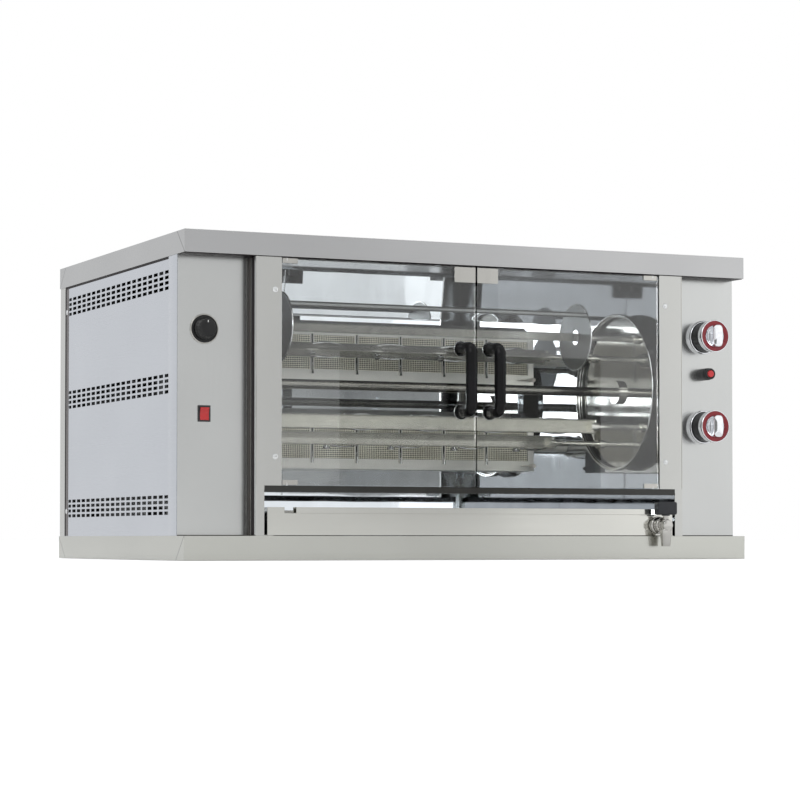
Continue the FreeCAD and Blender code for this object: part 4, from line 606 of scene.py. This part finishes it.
squeeze = 1 - 0.055 * depth * (0.5 + 0.5 * np.cos(flutes * turn)) ** 2
dial_grid[..., 0] *= squeeze
dial_grid[..., 2] *= squeeze
surface("dial_grip", dial_grid + np.array(dial_at), dial_black, "dial", replaces=("speed_dial",))
rounded_block("dial_mark", (-537.6, PANEL - 22.0, 433.5), (-536.4, PANEL - 21.2, 437.5), 0.3, white_mark, "dial")

# Rocker switch.
# The cap is a sheet over the width u and height v, each from -1 to 1, whose face dips in the middle: its reach is
# (2.2 + 2.9 |v| ^ 1.7) (1 - 0.25 max(|u|, |v|) ^ 14) mm, and the whole cap is then tilted by 8 degrees.
u, v = np.meshgrid(np.linspace(-1, 1, 17), np.linspace(-1, 1, 33))
edge = 1 - 0.25 * np.maximum(np.abs(u), np.abs(v)) ** 14
tilt = math.radians(8)
height = (2.2 + 2.9 * np.abs(v) ** 1.7) * edge
face = np.stack([u * 8.6, -height, v * 11.6], axis=-1)
back = face.copy()
back[..., 1] = 2.0
grid = np.concatenate([face, back[::-1]])
turned_y = grid[..., 1] * math.cos(tilt) - grid[..., 2] * math.sin(tilt)
turned_z = grid[..., 1] * math.sin(tilt) + grid[..., 2] * math.cos(tilt)
grid = np.stack([grid[..., 0], turned_y, turned_z], axis=-1) + np.array((CONTROLS_LEFT, PANEL - 1.2, 268.0))
surface("rocker_cap", grid, rocker_red, "switch_rocker", around=False, ring=True, replaces=("rocker",))

# Igniter.
igniter_at = (CONTROLS_RIGHT, PANEL, 367.0)
collar = eased([(7.6, 0), (11.6, 0), (11.2, 31.0), (10.2, 32.8), (8.2, 32.8), (7.6, 31.6)],
               [0.2, 0.3, 1.2, 0.8, 0.4, 0.3], 5, closed=True)
turned("igniter_collar", collar, igniter_at, "-Y", black_plastic, "cabinet", 56, ring=True)
button = eased([(0, -6), (7.1, -6), (7.1, 32), (6.6, 34.0), (4.6, 35), (0, 34.6)], [0.1, 0.4, 1.2, 1.5, 2, 0.1], 6)
turned("igniter_push", button, igniter_at, "-Y", red_plastic, "ignition_button", 48,
       replaces=("igniter_button",))

# Screw heads.
def screw_head(title, at, along, body="cabinet"):
    """A pan head with a cross recess: its height over the radius r, from 0 to 1, is 1.38 (1 - r ^ 5) mm, less a
    cross-shaped hollow 0.95 mm deep that follows the smaller of the two distances from the cross's arms."""
    axis, side, up = (np.array(vector, float) for vector in AXES[along])
    radius = np.linspace(0, 1, 15)[:, None]
    angle = np.linspace(0, 2 * np.pi, 48, endpoint=False)[None]
    head_radius = 5.4
    a, b = head_radius * radius * np.cos(angle), head_radius * radius * np.sin(angle)
    dome = 1.38 * (1 - radius ** 5)
    arm = np.minimum(np.abs(a * np.cos(0.5) + b * np.sin(0.5)), np.abs(b * np.cos(0.5) - a * np.sin(0.5)))
    cross = np.clip(1 - arm / 0.75, 0, 1) * np.clip((0.62 - radius) / 0.12, 0, 1)
    rise = np.broadcast_to(dome, a.shape) - 0.95 * cross
    grid = np.asarray(at, float) + rise[..., None] * axis + a[..., None] * side + b[..., None] * up
    return surface(title, grid, bright_steel, body, sharp=60)


spots = []
for x in (-412.0, 412.0):
    for level in (497.0, 190.0):
        spots.append(((x, -380.0, level), "-Y"))
for side, along in ((-1, "-X"), (1, "+X")):
    for level in (506.0, 96.0):
        spots.append(((588.5 * side, 338.0, level), along))
        spots.append(((568.5 * side, 383.5, level), "+Y"))
for index, (at, along) in enumerate(spots):
    screw_head(f"screw_head_{index}", at, along)

# Wheels and end discs.
for label, x, along in (("left", -429.0, "+X"), ("right", 429.0, "-X")):
    for bead, radius, out in ((2.2, 157.8, 12.2), (1.8, 154.6, 9.6), (1.8, 158.2, 1.8)):
        turned(f"{label}_wheel_bead_{int(out * 10)}", circle(bead, 20) + (radius, out), (x, *ROTOR), along,
               bright_steel, "rotor", 160, ring=True)
for label, x, along in (("left", -349.0, "+X"), ("right", 286.0, "+X")):
    turned(f"{label}_disc_bead", circle(1.6, 16) + (65.6, 1.0), (x, *SPITS[1]), along, bright_steel, "spit_unit_1", 96,
           ring=True)

# Forks.
def beside_bar(grid, spit, turn, start):
    """A grid in a spit bar's own frame, turned about the bar and moved to its place."""
    lean = math.radians(turn)
    across = grid[..., 1] * math.cos(lean) - grid[..., 2] * math.sin(lean)
    upward = grid[..., 1] * math.sin(lean) + grid[..., 2] * math.cos(lean)
    return np.stack([grid[..., 0] + start, across + spit[0], upward + spit[1]], axis=-1)


def prong(corner, bulge, flat):
    """A tine from the clip's edge: a circle that shrinks along a path that bows outwards by a half sine wave."""
    s = np.linspace(0, 1, 26)
    path = np.stack([15 + 61 * s, corner[0] + bulge[0] * np.sin(np.pi * s) ** 1.2,
                     corner[1] + bulge[1] * np.sin(np.pi * s) ** 1.2], axis=1)
    return swept_grid(path, circle(2.2, 14), flat, np.clip(1.02 - 0.75 * s ** 2.2, 0.12, 1))


clip_outline = eased([(-8.55, -8.55), (11, -8.55), (11, -6.05), (-6.05, -6.05), (-6.05, 11), (-8.55, 11)],
                     [3.0, 1.1, 1.1, 1.2, 1.1, 1.1], 5, closed=True)
clip_stations = np.array([0, 0.5, 21.5, 22.0])
clip_grid = np.zeros((4, len(clip_outline), 3))
clip_grid[..., 0] = clip_stations[:, None]
clip_grid[..., 1:] = clip_outline[None]
knurl = eased([(0, 5.2), (6.6, 5.2), (7.4, 5.9), (7.4, 9), (6.6, 9.8), (0, 10)], [0.1, 0.5, 0.5, 0.5, 0.5, 0.1], 4)
stem = eased([(0, -0.5), (3, -0.5), (3, 5.6), (0, 5.6)], 0.1, 3)


def ripple(angle):
    """Sixteen ridges round a thumb screw."""
    wave = np.cos(16 * angle)
    return 1 + 0.035 * np.sign(wave) * np.abs(wave) ** 0.5


for number, turn, start in ((2, 135, -234), (3, 110, -197), (4, -45, -222)):
    spit = SPITS[number]
    clips, tines, screws = [], [], []
    for step in range(4):
        x = start + 140 * step
        clips.append(beside_bar(clip_grid, spit, turn, x))
        tines.append(beside_bar(prong((8.8, -8.3), (0.6, -3.4), (0, 1, 0)), spit, turn, x))
        tines.append(beside_bar(prong((-8.3, 8.8), (-3.4, 0.6), (0, 0, 1)), spit, turn, x))
        for profile, edge in ((knurl, ripple), (stem, None)):
            if number == 3:
                head = turned_grid(profile, (11, -8.55, 0), "-Y", 64, edge)
            else:
                head = turned_grid(profile, (11, 0, -8.55), "-Z", 64, edge)
            screws.append(beside_bar(head, spit, turn, x))
    body = f"spit_unit_{number}"
    surface(f"fork_clips_{number}", clips, spit_steel, body, ends=True, replaces=(f"forks_{number}",))
    surface(f"fork_prongs_{number}", tines, bright_steel, body, ends=True)
    surface(f"fork_screws_{number}", screws, bright_steel, body, sharp=30)

# Chamber's rear wall.
# A mirror sheet 1.4 mm thick whose top part leans forward above a soft crease, at y = 130 - 0.092 w ln(1 +
# e ^ ((z - 500) / w)) with w = 1.5, and which sways by 0.35 sin(x / 71) mm along its width. The lean gives the
# photo's lighter band of reflection; the real wall's shape isn't known.
crease, lean, softness = 500, 0.092, 1.5
z = np.concatenate([np.linspace(45.5, 488, 24), np.linspace(490, 512, 34), np.linspace(516, 597.5, 12)])
front = 130 - lean * softness * np.logaddexp(0, (z - crease) / softness)
edge = np.concatenate([np.stack([front, z], axis=1), np.stack([front + 1.4, z], axis=1)[::-1]])
stations = np.linspace(-446.8, 446.8, 40)
wall = np.zeros((len(stations), len(edge), 3))
wall[..., 0] = stations[:, None]
wall[..., 1:] = edge[None]
wall[..., 1] += 0.35 * np.sin(stations / 71.0)[:, None]
surface("rear_mirror", wall, bright_wall, "cabinet", ends=True, replaces=("rear_wall",), slot="polished_steel")

# Burner plaques' joints and hooks.
def hook(x, level):
    """A wire hook that holds two plaques' lower corners: a round wire up the joint, over the plaques' edge and
    down again to a drop below it."""
    path = eased([(x, 82.6, level + 13), (x, 80.6, level + 12), (x, 80.2, level), (x, 80.2, level - 9)],
                 [0.5, 1, 2, 0.5], 6)
    swell = 1 + 1.1 * np.clip((level - path[:, 2]) / 9, 0, 1)
    return swept_grid(path, circle(1.5, 12), (1, 0, 0), swell)


plaque_pitch = 98.9
joints, hooks = [], []
for level in (204.0, 386.0):
    for step in range(1, 7):
        x = plaque_pitch * step - 346.15
        bow = eased([(x - 1.9, 81.7), (x + 1.9, 81.7), (x + 1.9, 82.7), (x - 1.9, 82.7)], 0.3, 3, closed=True)
        joint = np.zeros((2, len(bow), 3))
        joint[..., :2] = bow[None]
        joint[..., 2] = np.array([level - 2.0, level + 72.5])[:, None]
        joints.append(joint)
        hooks.append(hook(x, level))
surface("plaque_joints", joints, black_enamel, "cabinet", ends=True)
surface("plaque_hooks", hooks, bright_steel, "cabinet", ends=True)

# Drain tap.
flange = eased([(0, 0.2), (17.5, 0.2), (17.5, 3), (15.8, 4.4), (12, 5), (12, 9), (13.4, 9.4), (13.4, 12.6),
                (12, 13), (0, 13)], [0.1, 0.4, 1, 1, 0.8, 0.8, 0.4, 0.4, 0.5, 0.1], 4)
turned("tap_flange", flange, TAP, "-Y", tap_chrome, "tray", 64)
barrel = eased([(0, 12), (10.8, 12), (10.8, 20), (9.6, 22), (9.6, 34), (10.6, 36), (10.6, 39), (9, 40), (0, 40)],
               [0.1, 0.4, 1, 1, 1, 1, 0.6, 0.6, 0.1], 5)
turned("tap_barrel", barrel, TAP, "-Y", tap_chrome, "tray", 56, replaces=("drain_tap",))
nut = eased([(0, 14.6), (14.4, 14.6), (15.6, 16.2), (15.6, 19.2), (14.4, 20.8), (0, 20.8)],
            [0.1, 0.6, 0.8, 0.8, 0.6, 0.1], 5)
turned("tap_nut", nut, TAP, "-Y", tap_chrome, "tray", 64)
spout = eased([(0, 35), (9.4, 35), (9.8, 48), (11.2, 50), (10.9, 60), (9.8, 71), (8.8, 83), (6.0, 83), (6.0, 70),
               (0, 69)], [0.1, 0.8, 1, 1.5, 3, 3, 0.4, 0.4, 1, 0.1], 5)
turned("tap_spout", spout - (0, 42), (*SPINDLE, TAP[2]), "-Z", tap_chrome, "tray", 48)
stem = eased([(0, 6), (6.6, 6), (6.6, 11), (5.2, 12), (5.2, 17.5), (0, 17.5)], [0.1, 0.5, 0.8, 0.6, 0.3, 0.1], 4)
turned("tap_stem", stem, (*SPINDLE, TAP[2]), "+Z", tap_chrome, "tray", 40)
rounded_block("lever_cap", (SPINDLE[0] - 21.3, SPINDLE[1] - 9.2, 86.5), (SPINDLE[0] + 21.3, SPINDLE[1] + 9.2, 111.6),
              3.2, lever_black, "tap_handle", replaces=("tap_lever",))
neck = eased([(0, 0), (8.0, 0), (8.6, 7), (8.6, 9), (0, 9)], [0.1, 0.8, 1, 0.6, 0.1], 4)
turned("lever_neck", neck, (*SPINDLE, 84.2), "+Z", lever_black, "tap_handle", 40)

# Camera, floor and light.
scene = bpy.context.scene
camera = bpy.data.cameras.new("camera")
sensor, focal_pixels, picture_pixels = 36.0, 2557.9, 800
camera.sensor_width = sensor
camera.lens = focal_pixels / picture_pixels * sensor
camera.shift_y = 0.075
camera.clip_end = 100
eye = bpy.data.objects.new("camera", camera)
eye.location = (-2.139, -4.7376, 0.0382)
eye.rotation_euler = (math.radians(91.78), 0, math.radians(-24.416))
scene.collection.objects.link(eye)
scene.camera = eye
scene.view_settings.view_transform = "Standard"

floor_mesh = bpy.data.meshes.new("floor")
reach, floor_level = 40, -0.0005
floor_mesh.from_pydata([(x, y, floor_level) for x, y in ((-reach, -reach), (reach, -reach), (reach, reach),
                                                         (-reach, reach))], [], [(0, 1, 2, 3)])
floor = bpy.data.objects.new("floor", floor_mesh)
scene.collection.objects.link(floor)
ground = Paint("floor_paper", (0.86, 0.86, 0.86), roughness=0.9)
ground.tones(ground.noise(0.8, 2.0), (0.85, 0.85, 0.85), (0.87, 0.87, 0.87))
rays = ground.node("ShaderNodeLightPath")
glow = ground.node("ShaderNodeEmission")
glow.inputs["Color"].default_value = (1, 1, 1, 1)
strength = ground.node("ShaderNodeMath", operation="MULTIPLY")
strength.inputs[1].default_value = 0.30
ground.link(rays.outputs["Is Camera Ray"], strength.inputs[0])
ground.link(strength.outputs[0], glow.inputs["Strength"])
both = ground.node("ShaderNodeAddShader")
ground.link(ground.shader.outputs["BSDF"], both.inputs[0])
ground.link(glow.outputs["Emission"], both.inputs[1])
ground.link(both.outputs["Shader"], ground.tree.nodes["Material Output"].inputs["Surface"])
floor_mesh.materials.append(ground.material)

# A grey screen that the camera can't see stands low in the studio; the mirror sheets show it.
screen_mesh = bpy.data.meshes.new("studio_screen")
screen_mesh.from_pydata([(1.9, -5.5, 0.24), (3.1, -5.5, 0.24), (3.1, -5.5, 0.80), (1.9, -5.5, 0.80)], [],
                        [(0, 1, 2, 3)])
screen = bpy.data.objects.new("studio_screen", screen_mesh)
scene.collection.objects.link(screen)
screen.visible_camera = False
cloth = Paint("screen_cloth", (0.25, 0.25, 0.245), roughness=0.9)
cloth.tones(cloth.noise(1.5, 3.0), (0.18, 0.18, 0.18), (0.32, 0.32, 0.31))
screen_mesh.materials.append(cloth.material)

world = bpy.data.worlds.new("studio")
world.use_nodes = True
scene.world = world
tree = world.node_tree
backdrop = tree.nodes["Background"]
backdrop.inputs["Color"].default_value = (1, 1, 1, 1)
backdrop.inputs["Strength"].default_value = 1.0
room = tree.nodes.new("ShaderNodeBackground")
room.inputs["Strength"].default_value = 0.88
room.inputs["Color"].default_value = (0.98, 0.99, 1.0, 1)
path = tree.nodes.new("ShaderNodeLightPath")
seen = tree.nodes.new("ShaderNodeMath")
seen.operation = "MAXIMUM"
tree.links.new(path.outputs["Is Camera Ray"], seen.inputs[0])
tree.links.new(path.outputs["Is Transmission Ray"], seen.inputs[1])
choose = tree.nodes.new("ShaderNodeMixShader")
tree.links.new(seen.outputs[0], choose.inputs["Fac"])
tree.links.new(room.outputs["Background"], choose.inputs[1])
tree.links.new(backdrop.outputs["Background"], choose.inputs[2])
tree.links.new(choose.outputs["Shader"], tree.nodes["World Output"].inputs["Surface"])


def lamp(title, place, aim, wide, tall, power, in_gloss=True):
    """A flat studio lamp; one with in_gloss off lights the object without showing in its polish."""
    light = bpy.data.lights.new(title, "AREA")
    light.shape = "RECTANGLE"
    light.size, light.size_y = wide, tall
    light.energy = power
    held = bpy.data.objects.new(title, light)
    held.location = place
    held.visible_glossy = in_gloss
    held.rotation_euler = (Vector(aim) - Vector(place)).to_track_quat("-Z", "Y").to_euler()
    scene.collection.objects.link(held)


lamp("key_light", (-2.6, -2.6, 3.0), (0, 0, 0.3), 2.4, 2.0, 30)
lamp("fill_light", (4.0, -4.6, 1.2), (0, 0, 0.3), 3.4, 3.2, 12)
lamp("front_light", (-1.4, -4.8, 1.1), (0, -0.3, 0.3), 2.4, 1.4, 62, in_gloss=False)
lamp("top_light", (0, 0.4, 4.0), (0, 0, 0.3), 3.0, 2.0, 30)
